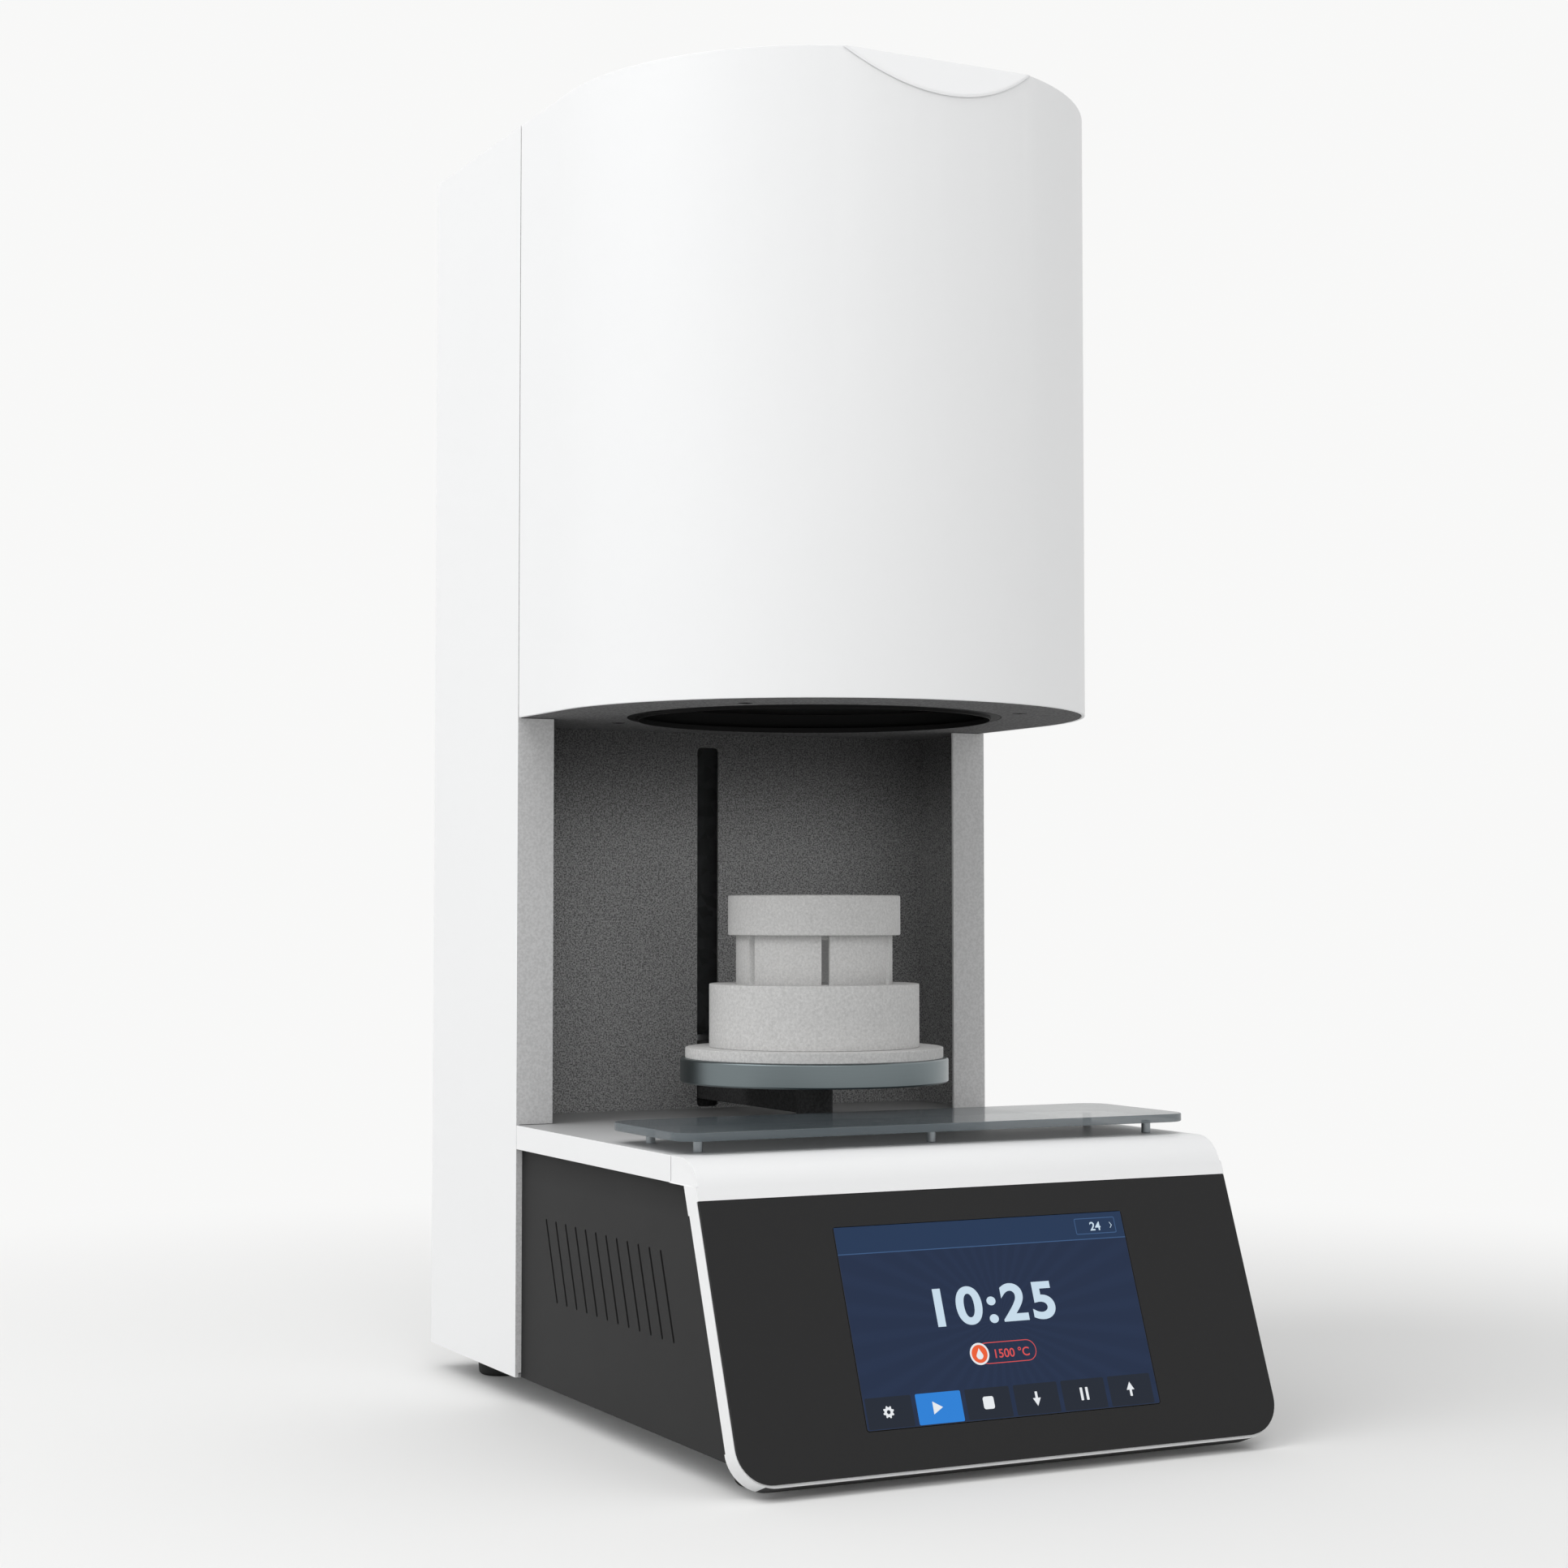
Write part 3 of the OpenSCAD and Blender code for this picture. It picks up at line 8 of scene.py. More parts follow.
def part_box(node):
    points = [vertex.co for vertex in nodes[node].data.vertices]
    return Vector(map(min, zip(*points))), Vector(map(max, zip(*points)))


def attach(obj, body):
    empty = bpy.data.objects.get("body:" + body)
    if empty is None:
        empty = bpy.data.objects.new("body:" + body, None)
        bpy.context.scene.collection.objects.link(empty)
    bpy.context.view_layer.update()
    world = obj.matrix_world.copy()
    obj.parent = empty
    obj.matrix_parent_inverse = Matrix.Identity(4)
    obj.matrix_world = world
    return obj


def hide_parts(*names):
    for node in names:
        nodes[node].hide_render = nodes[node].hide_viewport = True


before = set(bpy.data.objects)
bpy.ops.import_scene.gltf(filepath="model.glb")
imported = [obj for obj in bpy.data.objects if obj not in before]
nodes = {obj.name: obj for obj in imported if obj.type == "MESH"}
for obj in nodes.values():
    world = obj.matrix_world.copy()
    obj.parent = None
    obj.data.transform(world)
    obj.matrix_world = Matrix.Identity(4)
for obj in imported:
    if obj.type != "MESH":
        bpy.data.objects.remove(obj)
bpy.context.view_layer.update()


# The view. The furnace is seen from its front left, a little over the glass shelf.
# A long lens stands about a metre and a half away.
camera_data = bpy.data.cameras.new("view")
camera_data.sensor_width = 36.0
camera_data.lens = 62.22
camera_data.clip_start = 0.05
camera_data.clip_end = 100.0
lens_yaw = math.radians(26.76)
lens_pitch = math.radians(2.70)
camera = bpy.data.objects.new("view", camera_data)
camera.location = (-0.7254, -1.3931, 0.2818)
camera.rotation_euler = (math.pi / 2 + lens_pitch, 0.0, -lens_yaw)
bpy.context.scene.collection.objects.link(camera)
bpy.context.scene.camera = camera
bpy.context.scene.view_settings.view_transform = "Standard"


# The room. Even light from all round. What the lens, gloss and glass see of it is nearly
# white, and what falls on the furnace is dimmer.
def math_node(tree, operation, *values):
    step = tree.nodes.new("ShaderNodeMath")
    step.operation = operation
    for socket, value in zip(step.inputs, values):
        if isinstance(value, float):
            socket.default_value = value
        else:
            tree.links.new(value, socket)
    return step.outputs[0]


def seen_directly(tree):
    rays = tree.nodes.new("ShaderNodeLightPath").outputs
    lens_or_gloss = math_node(tree, "MAXIMUM", rays["Is Camera Ray"], rays["Is Glossy Ray"])
    return math_node(tree, "MAXIMUM", lens_or_gloss, rays["Is Transmission Ray"])


def mix_into(end, tree, share, first, second):
    mix = tree.nodes.new("ShaderNodeMixShader")
    tree.links.new(share, mix.inputs["Fac"])
    tree.links.new(first, mix.inputs[1])
    tree.links.new(second, mix.inputs[2])
    tree.links.new(mix.outputs[0], end.inputs["Surface"])


paper_white = (0.94, 0.94, 0.935, 1.0)
room = bpy.data.worlds.new("room")
room.use_nodes = True
bpy.context.scene.world = room
walls = room.node_tree
walls.nodes.clear()
walls_seen = walls.nodes.new("ShaderNodeBackground")
walls_seen.inputs["Color"].default_value = paper_white
walls_light = walls.nodes.new("ShaderNodeBackground")
walls_light.inputs["Strength"].default_value = 0.66
walls_light.inputs["Color"].default_value = (1.0, 1.0, 1.0, 1.0)
mix_into(walls.nodes.new("ShaderNodeOutputWorld"), walls, seen_directly(walls),
         walls_light.outputs[0], walls_seen.outputs[0])


# The lamps. Three large soft discs: one high at the left, one overhead, and a weak one in
# front.
def soft_lamp(name, place, target, size, watts):
    lamp_data = bpy.data.lights.new(name, "AREA")
    lamp_data.shape = "DISK"
    lamp_data.size = size
    lamp_data.energy = watts
    lamp = bpy.data.objects.new(name, lamp_data)
    lamp.location = place
    lamp.rotation_euler = (Vector(target) - Vector(place)).to_track_quat("-Z", "Y").to_euler()
    bpy.context.scene.collection.objects.link(lamp)


soft_lamp("lamp_left", (-2.3, 0.0, 2.9), (0.0, 0.0, 0.35), 3.0, 54.0)
soft_lamp("lamp_top", (0.1, -0.2, 3.3), (0.0, 0.0, 0.3), 2.2, 12.0)
soft_lamp("lamp_front", (-0.9, -2.4, 2.3), (0.0, 0.0, 0.3), 1.8, 15.0)


# The floor. A pale matt sheet that keeps the furnace's shadow, and that fades into the
# room's white further out.
def own_place(tree):
    return tree.nodes.new("ShaderNodeTexCoord").outputs["Object"]


def spread(tree, source, low, high, start=0.0, end=1.0, curve="LINEAR"):
    ramp = tree.nodes.new("ShaderNodeMapRange")
    ramp.interpolation_type = curve
    ramp.inputs["From Min"].default_value = start
    ramp.inputs["From Max"].default_value = end
    ramp.inputs["To Min"].default_value = low
    ramp.inputs["To Max"].default_value = high
    tree.links.new(source, ramp.inputs["Value"])
    return ramp.outputs["Result"]


sheet = bmesh.new()
bmesh.ops.create_grid(sheet, x_segments=1, y_segments=1, size=30.0)
floor_data = bpy.data.meshes.new("floor")
sheet.to_mesh(floor_data)
sheet.free()
floor_paint = bpy.data.materials.new("pale_floor")
floor_paint.use_nodes = True
ground = floor_paint.node_tree
ground.nodes.clear()
ground_glow = ground.nodes.new("ShaderNodeEmission")
ground_glow.inputs["Color"].default_value = paper_white
ground_matt = ground.nodes.new("ShaderNodeBsdfDiffuse")
ground_matt.inputs["Color"].default_value = (0.78, 0.78, 0.775, 1.0)
ground_reach = ground.nodes.new("ShaderNodeVectorMath")
ground_reach.operation = "LENGTH"
ground.links.new(own_place(ground), ground_reach.inputs[0])
fade_from, fade_to = 0.4, 1.2
ground_fade = spread(ground, ground_reach.outputs["Value"], 0.03, 1.0, fade_from, fade_to, "SMOOTHSTEP")
glow_share = math_node(ground, "MULTIPLY", seen_directly(ground), ground_fade)
mix_into(ground.nodes.new("ShaderNodeOutputMaterial"), ground, glow_share,
         ground_matt.outputs[0], ground_glow.outputs[0])
floor_data.materials.append(floor_paint)
floor = bpy.data.objects.new("floor", floor_data)
bpy.context.scene.collection.objects.link(floor)


# The column's casing. One sheet of steel folded round the sides and over the top, with lips
# beside the bay and the base. It has a white powder coat with a fine orange peel.
def noise(tree, place, scale, detail=2.0, roughness=0.5):
    texture = tree.nodes.new("ShaderNodeTexNoise")
    texture.inputs["Scale"].default_value = scale
    texture.inputs["Detail"].default_value = detail
    texture.inputs["Roughness"].default_value = roughness
    tree.links.new(place, texture.inputs["Vector"])
    return texture.outputs["Fac"]


def blend(tree, share, color, dark, light=1.0):
    mix = tree.nodes.new("ShaderNodeMix")
    mix.data_type = "RGBA"
    mix.inputs["A"].default_value = (*[part * dark for part in color], 1.0)
    mix.inputs["B"].default_value = (*[part * light for part in color], 1.0)
    tree.links.new(share, mix.inputs["Factor"])
    return mix.outputs["Result"]


def emboss(tree, height, strength, depth):
    relief = tree.nodes.get("Bump") or tree.nodes.new("ShaderNodeBump")
    relief.inputs["Strength"].default_value = strength
    relief.inputs["Distance"].default_value = depth
    tree.links.new(height, relief.inputs["Height"])
    tree.links.new(relief.outputs["Normal"], tree.nodes["Principled BSDF"].inputs["Normal"])


def paint_scaled(tree, color, factor):
    scaled = tree.nodes.new("ShaderNodeVectorMath")
    scaled.operation = "SCALE"
    tree.links.new(color, scaled.inputs[0])
    tree.links.new(factor, scaled.inputs["Scale"])
    tree.links.new(scaled.outputs["Vector"], tree.nodes["Principled BSDF"].inputs["Base Color"])


def new_surface(name):
    surface = bpy.data.materials.new(name)
    surface.use_nodes = True
    tree = surface.node_tree
    return surface, tree, tree.nodes["Principled BSDF"].inputs, own_place(tree)


def coated_metal(name, color, roughness, peel=0.06, peel_size=0.0011, mottle=0.985, gloss=0.5, speckle=0.0):
    paint, tree, sockets, place = new_surface(name)
    sockets["IOR"].default_value = 1.48
    sockets["Specular IOR Level"].default_value = gloss
    dimples = noise(tree, place, 1.0 / peel_size)
    emboss(tree, dimples, peel, 0.0002)
    clouds = noise(tree, place, 11.0, detail=3.0)
    flecks = spread(tree, dimples, 1.0 - speckle, 1.0 + speckle, 0.35, 0.65)
    paint_scaled(tree, blend(tree, clouds, color, mottle), flecks)
    tree.links.new(spread(tree, clouds, roughness - 0.05, roughness + 0.05), sockets["Roughness"])
    return paint


def add_piece(mesh, name, body, slot, material, *replaced):
    data = bpy.data.meshes.new(name)
    mesh.to_mesh(data)
    mesh.free()
    data.materials.append(material)
    data.shade_smooth()
    data.set_sharp_from_angle(angle=math.radians(32.0))
    piece = bpy.data.objects.new(name, data)
    bpy.context.scene.collection.objects.link(piece)
    even = piece.modifiers.new("even_shading", "WEIGHTED_NORMAL")
    even.keep_sharp = True
    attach(piece, body)
    if replaced:
        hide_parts(*replaced)
    return piece


def merged_copy(node):
    shell = bmesh.new()
    shell.from_mesh(nodes[node].data)
    bmesh.ops.remove_doubles(shell, verts=shell.verts, dist=0.000002)
    bmesh.ops.dissolve_limit(shell, angle_limit=math.radians(0.2), verts=shell.verts, edges=shell.edges)
    return shell


def soften(shell, radius, steps=2):
    crisp = [e for e in shell.edges if e.is_manifold and e.calc_face_angle() > math.radians(35.0)]
    bmesh.ops.bevel(shell, geom=crisp, offset=radius, offset_type="OFFSET", segments=steps, profile=0.5,
                    affect="EDGES", clamp_overlap=True, material=-1)


def soft_copy(node, name, body, slot, material, radius):
    shell = merged_copy(node)
    soften(shell, radius)
    return add_piece(shell, name, body, slot, material, node)


def joined(*plates):
    whole = plates[0]
    for plate in plates[1:]:
        scrap = bpy.data.meshes.new("scrap")
        plate.to_mesh(scrap)
        plate.free()
        whole.from_mesh(scrap)
        bpy.data.meshes.remove(scrap)
    return whole


def second_finish(piece, material, wanted):
    piece.data.materials.append(material)
    place = len(piece.data.materials) - 1
    for face in piece.data.polygons:
        if wanted(face.center, face.normal):
            face.material_index = place


coat_white = (0.84, 0.845, 0.85)
white_coat = coated_metal("white_coat", coat_white, 0.42, gloss=0.35)
# Painted shade: grey for faces in shade, the casing's lips under the head and the fascia's rim.
painted_shade_grey = coated_metal("painted_shade_grey", (0.6, 0.6, 0.602), 0.6, peel=0.2, peel_size=0.0014, gloss=0.1, speckle=0.08)
casing_low, casing_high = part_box("column_casing")
casing_front = casing_low.y
lip_wide, lip_thick, lip_long = 0.0024, 0.002, 0.139
lip_inset, lip_height = 0.0032, 0.087
casing_shell = merged_copy("column_casing")
for side in (-1.0, 1.0):
    low_lip = bmesh.new()
    bmesh.ops.create_cube(low_lip, size=1.0)
    bmesh.ops.scale(low_lip, verts=low_lip.verts, vec=(lip_wide, lip_thick, lip_long))
    bmesh.ops.translate(low_lip, verts=low_lip.verts,
                        vec=(side * (casing_high.x - lip_inset), casing_front + lip_thick / 2, lip_height))
    joined(casing_shell, low_lip)
soften(casing_shell, 0.0006)
casing = add_piece(casing_shell, "casing", "frame", "white_paint", white_coat, "column_casing")
# The lips' front faces take the grey: painted shade under the overhanging head.
second_finish(casing, painted_shade_grey, lambda middle, normal: normal.y < -0.9 and middle.y < casing_front + lip_thick)


# The rear panel. A flat sheet in the same coat, let in between the casing's rear edges, with
# punched vents and a round hole for the fan. Low-head screws hold it and the fan's guard.
def machined_metal(name, color, roughness, grain=(60.0, 60.0, 900.0), relief_depth=0.08):
    metal, tree, sockets, place = new_surface(name)
    sockets["Metallic"].default_value = 1.0
    stretch = tree.nodes.new("ShaderNodeMapping")
    stretch.inputs["Scale"].default_value = grain
    tree.links.new(place, stretch.inputs["Vector"])
    lines = noise(tree, stretch.outputs["Vector"], 4.0, detail=4.0)
    emboss(tree, lines, relief_depth, 0.0001)
    tree.links.new(blend(tree, lines, color, 0.86), sockets["Base Color"])
    tree.links.new(spread(tree, lines, roughness - 0.08, roughness + 0.08), sockets["Roughness"])
    return metal


plain_steel = machined_metal("plain_steel", (0.56, 0.57, 0.58), 0.34)
soft_copy("rear_panel", "rear_cover", "frame", "white_paint", white_coat, 0.0004)
soft_copy("rear_screws", "rear_cover_screws", "frame", "steel", plain_steel, 0.0002)


# The bay's liner. Grey-coated sheet folded round the back and sides of the loading bay, with a
# tall slot for the lift's arm. Its coarse grey is kept dark, partly as painted shade for the deep
# bay, and is painted darker still towards the head, as painted shade under it.
# Paints shade into a material's colour: it darkens along one axis towards one end.
def painted_shade_towards(material, axis, shade_from, shade_deepest, share, bright=1.0, curve="LINEAR"):
    tree = material.node_tree
    reach = tree.nodes.new("ShaderNodeSeparateXYZ")
    tree.links.new(own_place(tree), reach.inputs[0])
    shade_ramp = spread(tree, reach.outputs[axis], share, bright, shade_deepest, shade_from, curve)
    base = tree.nodes["Principled BSDF"].inputs["Base Color"]
    paint_scaled(tree, base.links[0].from_socket, shade_ramp)


bay_coat = coated_metal("bay_coat", (0.37, 0.37, 0.371), 0.8, peel=0.3, peel_size=0.0009, mottle=0.92, gloss=0.04,
                        speckle=0.55)
bay_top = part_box("bay_liner")[1].z
shade_reach = 0.085
# Painted shade: the liner darkens towards the head above it.
painted_shade_towards(bay_coat, "Z", bay_top - shade_reach, bay_top, share=0.25, curve="SMOOTHSTEP")
soft_copy("bay_liner", "bay_walls", "frame", "grey_paint", bay_coat, 0.0004)


# The head. A round-fronted white cover with a slanted cap let into its top edge. Its floor
# has a round mouth with a dark collar, and four countersunk screws.
soft_copy("head_cover", "head_shell", "frame", "white_paint", white_coat, 0.0005)
soft_copy("top_cap", "head_cap", "frame", "white_paint", white_coat, 0.0003)
# The underside's dark grey is partly painted shade, for the floor of the head that faces down.
underside_coat = coated_metal("underside_coat", (0.15, 0.15, 0.151), 0.8, peel=0.3, peel_size=0.0014, gloss=0.04,
                              speckle=0.3)
soft_copy("head_floor", "head_underside", "frame", "grey_paint", underside_coat, 0.0003)
black_coat = coated_metal("black_coat", (0.01, 0.01, 0.01), 0.6, peel=0.15, gloss=0.08)
soft_copy("floor_screws", "underside_screws", "frame", "dark_metal", black_coat, 0.0002)
# The collar's black, with its plate that closes the mouth, keeps the mouth black: painted shade.
soft_copy("mouth_collar", "mouth_ring", "frame", "dark_metal", black_coat, 0.0003)


# The chamber. A can of aluminised steel, filled with pressed ceramic fibre: a wall, a ring
# round the mouth and a thick roof. The fibre is white and matt, with small pits.
def pressed_fibre(name, color, pore_size=0.0016, depth=0.25):
    fibre, tree, sockets, place = new_surface(name)
    sockets["Roughness"].default_value = 0.92
    sockets["Specular IOR Level"].default_value = 0.25
    grains = noise(tree, place, 1.0 / pore_size, detail=5.0, roughness=0.65)
    pits = tree.nodes.new("ShaderNodeTexVoronoi")
    pits.inputs["Scale"].default_value = 0.45 / pore_size
    tree.links.new(place, pits.inputs["Vector"])
    pit_edge = spread(tree, pits.outputs["Distance"], 0.0, 1.0, 0.02, 0.16)
    emboss(tree, math_node(tree, "MULTIPLY", grains, pit_edge), depth, 0.0003)
    tree.links.new(blend(tree, grains, color, 0.55, 1.22), sockets["Base Color"])
    return fibre


def spangled_metal(name, color, roughness):
    flake = 0.006
    metal, tree, sockets, place = new_surface(name)
    sockets["Metallic"].default_value = 1.0
    flakes = tree.nodes.new("ShaderNodeTexVoronoi")
    flakes.inputs["Scale"].default_value = 1.0 / flake
    tree.links.new(place, flakes.inputs["Vector"])
    chance = tree.nodes.new("ShaderNodeSeparateColor")
    tree.links.new(flakes.outputs["Color"], chance.inputs["Color"])
    tree.links.new(blend(tree, chance.outputs["Red"], color, 0.8), sockets["Base Color"])
    sheen = spread(tree, chance.outputs["Green"], roughness - 0.1, roughness + 0.1)
    tree.links.new(sheen, sockets["Roughness"])
    return metal


def finish_nodes(material, *names):
    for name in names:
        nodes[name].data.materials.clear()
        nodes[name].data.materials.append(material)


zinc_steel = spangled_metal("zinc_steel", (0.6, 0.61, 0.62), 0.42)
white_fibre = pressed_fibre("white_fibre", (0.68, 0.677, 0.67))
finish_nodes(zinc_steel, "chamber_can", "head_rails")
finish_nodes(white_fibre, "chamber_wall", "mouth_insulation", "chamber_roof")


# The heating elements. U-shaped silicide rods hang through the roof. Their hot legs are dark
# and glassy, and the tops of the thick terminals are sprayed with aluminium.
def cut_level(shell, height):
    bmesh.ops.bisect_plane(shell, geom=shell.verts[:] + shell.edges[:] + shell.faces[:], dist=0.0000001,
                           plane_co=(0.0, 0.0, height), plane_no=(0.0, 0.0, 1.0))


silicide = coated_metal("silicide", (0.075, 0.068, 0.06), 0.38, peel=0.2)
light_metal = machined_metal("light_metal", (0.66, 0.67, 0.69), 0.4, grain=(300.0, 300.0, 300.0))
sprayed_long = 0.03
sprayed_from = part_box("heating_elements")[1].z - sprayed_long
rod_shell = merged_copy("heating_elements")
cut_level(rod_shell, sprayed_from)
rods = add_piece(rod_shell, "element_rods", "frame", "element", silicide, "heating_elements")
second_finish(rods, light_metal, lambda middle, normal: middle.z > sprayed_from)


# What holds and joins the elements. Alumina clamps stand on the roof, and braided aluminium
# straps join the elements in series. The thermocouple has an alumina sheath and a steel head.
def bands(tree, direction, scale, wobble=0.0):
    wave = tree.nodes.new("ShaderNodeTexWave")
    wave.bands_direction = direction
    wave.inputs["Scale"].default_value = scale
    wave.inputs["Distortion"].default_value = wobble
    tree.links.new(own_place(tree), wave.inputs["Vector"])
    return wave.outputs["Fac"]


alumina = pressed_fibre("alumina", (0.64, 0.637, 0.63), pore_size=0.0013, depth=0.14)
finish_nodes(alumina, "element_clamps", "thermocouple")
finish_nodes(plain_steel, "thermocouple_head")
braid = machined_metal("braided_strap", (0.6, 0.61, 0.63), 0.45, grain=(300.0, 300.0, 300.0))
strands = braid.node_tree
emboss(strands, math_node(strands, "MULTIPLY", bands(strands, "X", 150.0), bands(strands, "Y", 150.0)), 0.6, 0.0004)
finish_nodes(braid, "element_straps")


# The deck. A white folded tray over the base that runs back into the bay as its floor. Its top
# is painted darker towards the bay, as painted shade under the head and the shelf.
deck_low, deck_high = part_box("deck")
deck = soft_copy("deck", "deck_top", "frame", "white_paint", white_coat, 0.0005)
# Painted shade: the deck's top is darker all over and darkest in the bay.
deck_painted_shade = coated_metal("deck_painted_shade", coat_white, 0.42, gloss=0.35)
deck_shade_end = casing_front + 0.015
painted_shade_towards(deck_painted_shade, "Y", deck_low.y, deck_shade_end, share=0.45, bright=0.88)
second_finish(deck, deck_painted_shade, lambda middle, normal: normal.z > 0.9)


# The fascia. A white moulding with a rounded nose, level with the deck's sides, and a slope
# that frames the dark front panel. The panel is a flush sheet with a fine matt charcoal coat.
# A fine joint shows between the moulding and the deck.
step_high, step_in = 0.001, 0.001
rear_edge, joint_wide = 0.0012, 0.0006
fascia_shell = merged_copy("fascia_frame")
soften(fascia_shell, 0.0007, 3)
cut_level(fascia_shell, deck_low.z)
cut_level(fascia_shell, deck_low.z + step_high)
fascia_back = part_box("fascia_frame")[1].y
for v in fascia_shell.verts:
    if v.co.z > deck_low.z + step_high / 2 and abs(v.co.x) > deck_high.x + 0.0002:
        v.co.x -= math.copysign(step_in, v.co.x)
    if v.co.y > fascia_back - rear_edge:
        v.co.y -= joint_wide
fascia = add_piece(fascia_shell, "fascia", "frame", "white_paint", white_coat, "fascia_frame")
slope = math.radians(20.8)
slope_down = Vector((0.0, -math.sin(slope), -math.cos(slope)))
# Painted shade along the bottom: a grey strip on the rim and dark faces under it, near the floor.
painted_shade_dark = coated_metal("painted_shade_dark", (0.06, 0.06, 0.06), 0.7, gloss=0.1)
rim_low = max(v.co.dot(slope_down) for v in fascia.data.vertices)
rim_wide = 0.0015
second_finish(fascia, painted_shade_grey, lambda middle, normal: middle.dot(slope_down) > rim_low - rim_wide)
second_finish(fascia, painted_shade_dark, lambda middle, normal: normal.dot(slope_down) > 0.93)
charcoal = coated_metal("charcoal", (0.024, 0.024, 0.0245), 0.6, peel=0.05, mottle=0.95, gloss=0.12)
soft_copy("front_panel", "fascia_panel", "frame", "dark_paint", charcoal, 0.0003)


# The touch screen. A module behind dark glass, flush with the panel. Its picture has a bar
# along the top, faint rays behind a large clock, the chamber's heat and six plain buttons.
# The picture is drawn in millimetres across and down from the top of the panel.
panel_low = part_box("front_panel")[0]
panel_down = 0.1398
panel_thick = 0.002
panel_out = Vector((0.0, -math.cos(slope), math.sin(slope)))
panel_top = Vector((0.0, panel_low.y + panel_down * math.sin(slope),
                    panel_low.z + panel_thick * math.sin(slope) + panel_down * math.cos(slope)))
panel_place = Matrix.Translation(panel_top) @ Matrix.Rotation(math.pi / 2 - slope, 4, "X") @ Matrix.Scale(0.001, 4)


def lit_color(name, color):
    ink, tree, sockets, place = new_surface(name)
    sockets["Base Color"].default_value = (0.004, 0.004, 0.005, 1.0)
    sockets["Roughness"].default_value = 0.3
    sockets["Specular IOR Level"].default_value = 0.1
    sockets["Emission Strength"].default_value = 1.0
    tree.links.new(blend(tree, noise(tree, place, 2500.0), color, 0.96), sockets["Emission Color"])
    return ink


def on_screen(drawing, name, layer, ink):
    bmesh.ops.translate(drawing, verts=drawing.verts, vec=(0.0, 0.0, layer * 0.02))
    bmesh.ops.transform(drawing, verts=drawing.verts, matrix=panel_place)
    bmesh.ops.recalc_face_normals(drawing, faces=drawing.faces)
    return add_piece(drawing, name, "frame", "screen", ink)


def round_plate(x, down, wide, high, corner):
    plate = bmesh.new()
    bmesh.ops.create_grid(plate, x_segments=1, y_segments=1, size=0.5)
    bmesh.ops.scale(plate, verts=plate.verts, vec=(wide, high, 1.0))
    if corner > 0.0:
        bmesh.ops.bevel(plate, geom=plate.verts[:], offset=corner, offset_type="OFFSET", segments=6, profile=0.5,
                        affect="VERTICES", clamp_overlap=True, material=-1)
    bmesh.ops.translate(plate, verts=plate.verts, vec=(x, -down, 0.0))
    return plate


def disc(x, down, radius, sides=40, turn=0.0):
    plate = bmesh.new()
    bmesh.ops.create_circle(plate, cap_ends=True, segments=sides, radius=radius)
    bmesh.ops.rotate(plate, verts=plate.verts, matrix=Matrix.Rotation(math.radians(turn), 3, "Z"))
    bmesh.ops.translate(plate, verts=plate.verts, vec=(x, -down, 0.0))
    return plate


def outline_of(plate, line):
    whole = plate.faces[:]
    rim = bmesh.ops.inset_region(plate, faces=whole, thickness=line, use_even_offset=True, use_boundary=True)
    bmesh.ops.delete(plate, geom=[f for f in plate.faces if f not in rim["faces"]], context="FACES")
    return plate


def numerals(words, left, right, top, bottom, weight=0.0, spacing=1.0):
    letters = bpy.data.curves.new("letters", "FONT")
    letters.body = words
    letters.offset = weight
    letters.space_character = spacing
    draft = bpy.data.objects.new("draft", letters)
    bpy.context.scene.collection.objects.link(draft)
    bpy.context.view_layer.update()
    flat = bpy.data.meshes.new_from_object(draft)
    drawing = bmesh.new()
    drawing.from_mesh(flat)
    bpy.data.objects.remove(draft)
    bpy.data.curves.remove(letters)
    bpy.data.meshes.remove(flat)
    low_x, high_x = min(v.co.x for v in drawing.verts), max(v.co.x for v in drawing.verts)
    low_y, high_y = min(v.co.y for v in drawing.verts), max(v.co.y for v in drawing.verts)
    bmesh.ops.translate(drawing, verts=drawing.verts, vec=(-low_x, -low_y, 0.0))
    bmesh.ops.scale(drawing, verts=drawing.verts,
                    vec=((right - left) / (high_x - low_x), (bottom - top) / (high_y - low_y), 1.0))
    bmesh.ops.translate(drawing, verts=drawing.verts, vec=(left, -bottom, 0.0))
    return drawing


ray_count, rays_from = 36, 70.0
night_blue = lit_color("night_blue", (0.0138, 0.0268, 0.0648))
sky = night_blue.node_tree
sky_turn = sky.nodes.new("ShaderNodeMapping")
sky_turn.vector_type = "TEXTURE"
sky_turn.inputs["Location"].default_value = panel_place @ Vector((0.0, -rays_from, 0.0))
sky_turn.inputs["Rotation"].default_value = (math.pi / 2 - slope, 0.0, 0.0)
sky.links.new(own_place(sky), sky_turn.inputs["Vector"])
sky_angle = sky.nodes.new("ShaderNodeTexGradient")
sky_angle.gradient_type = "RADIAL"
sky.links.new(sky_turn.outputs["Vector"], sky_angle.inputs["Vector"])
sky_rays = math_node(sky, "MULTIPLY", sky_angle.outputs["Fac"], math.radians(360.0) * ray_count)
sky_share = spread(sky, math_node(sky, "SINE", sky_rays), 0.0, 1.0, -0.4, 0.9)
sky.nodes["Mix"].inputs["A"].default_value = (0.0124, 0.0243, 0.0592, 1.0)
sky.links.new(sky_share, sky.nodes["Mix"].inputs["Factor"])

module_black = coated_metal("module_black", (0.012, 0.012, 0.013), 0.45, peel=0.1)
screen_glass = soft_copy("touch_screen", "screen_glass", "frame", "screen", module_black, 0.0002)
second_finish(screen_glass, night_blue,
              lambda middle, normal: normal.dot(panel_out) > 0.99 and (middle - panel_top).dot(panel_out) > -0.0005)

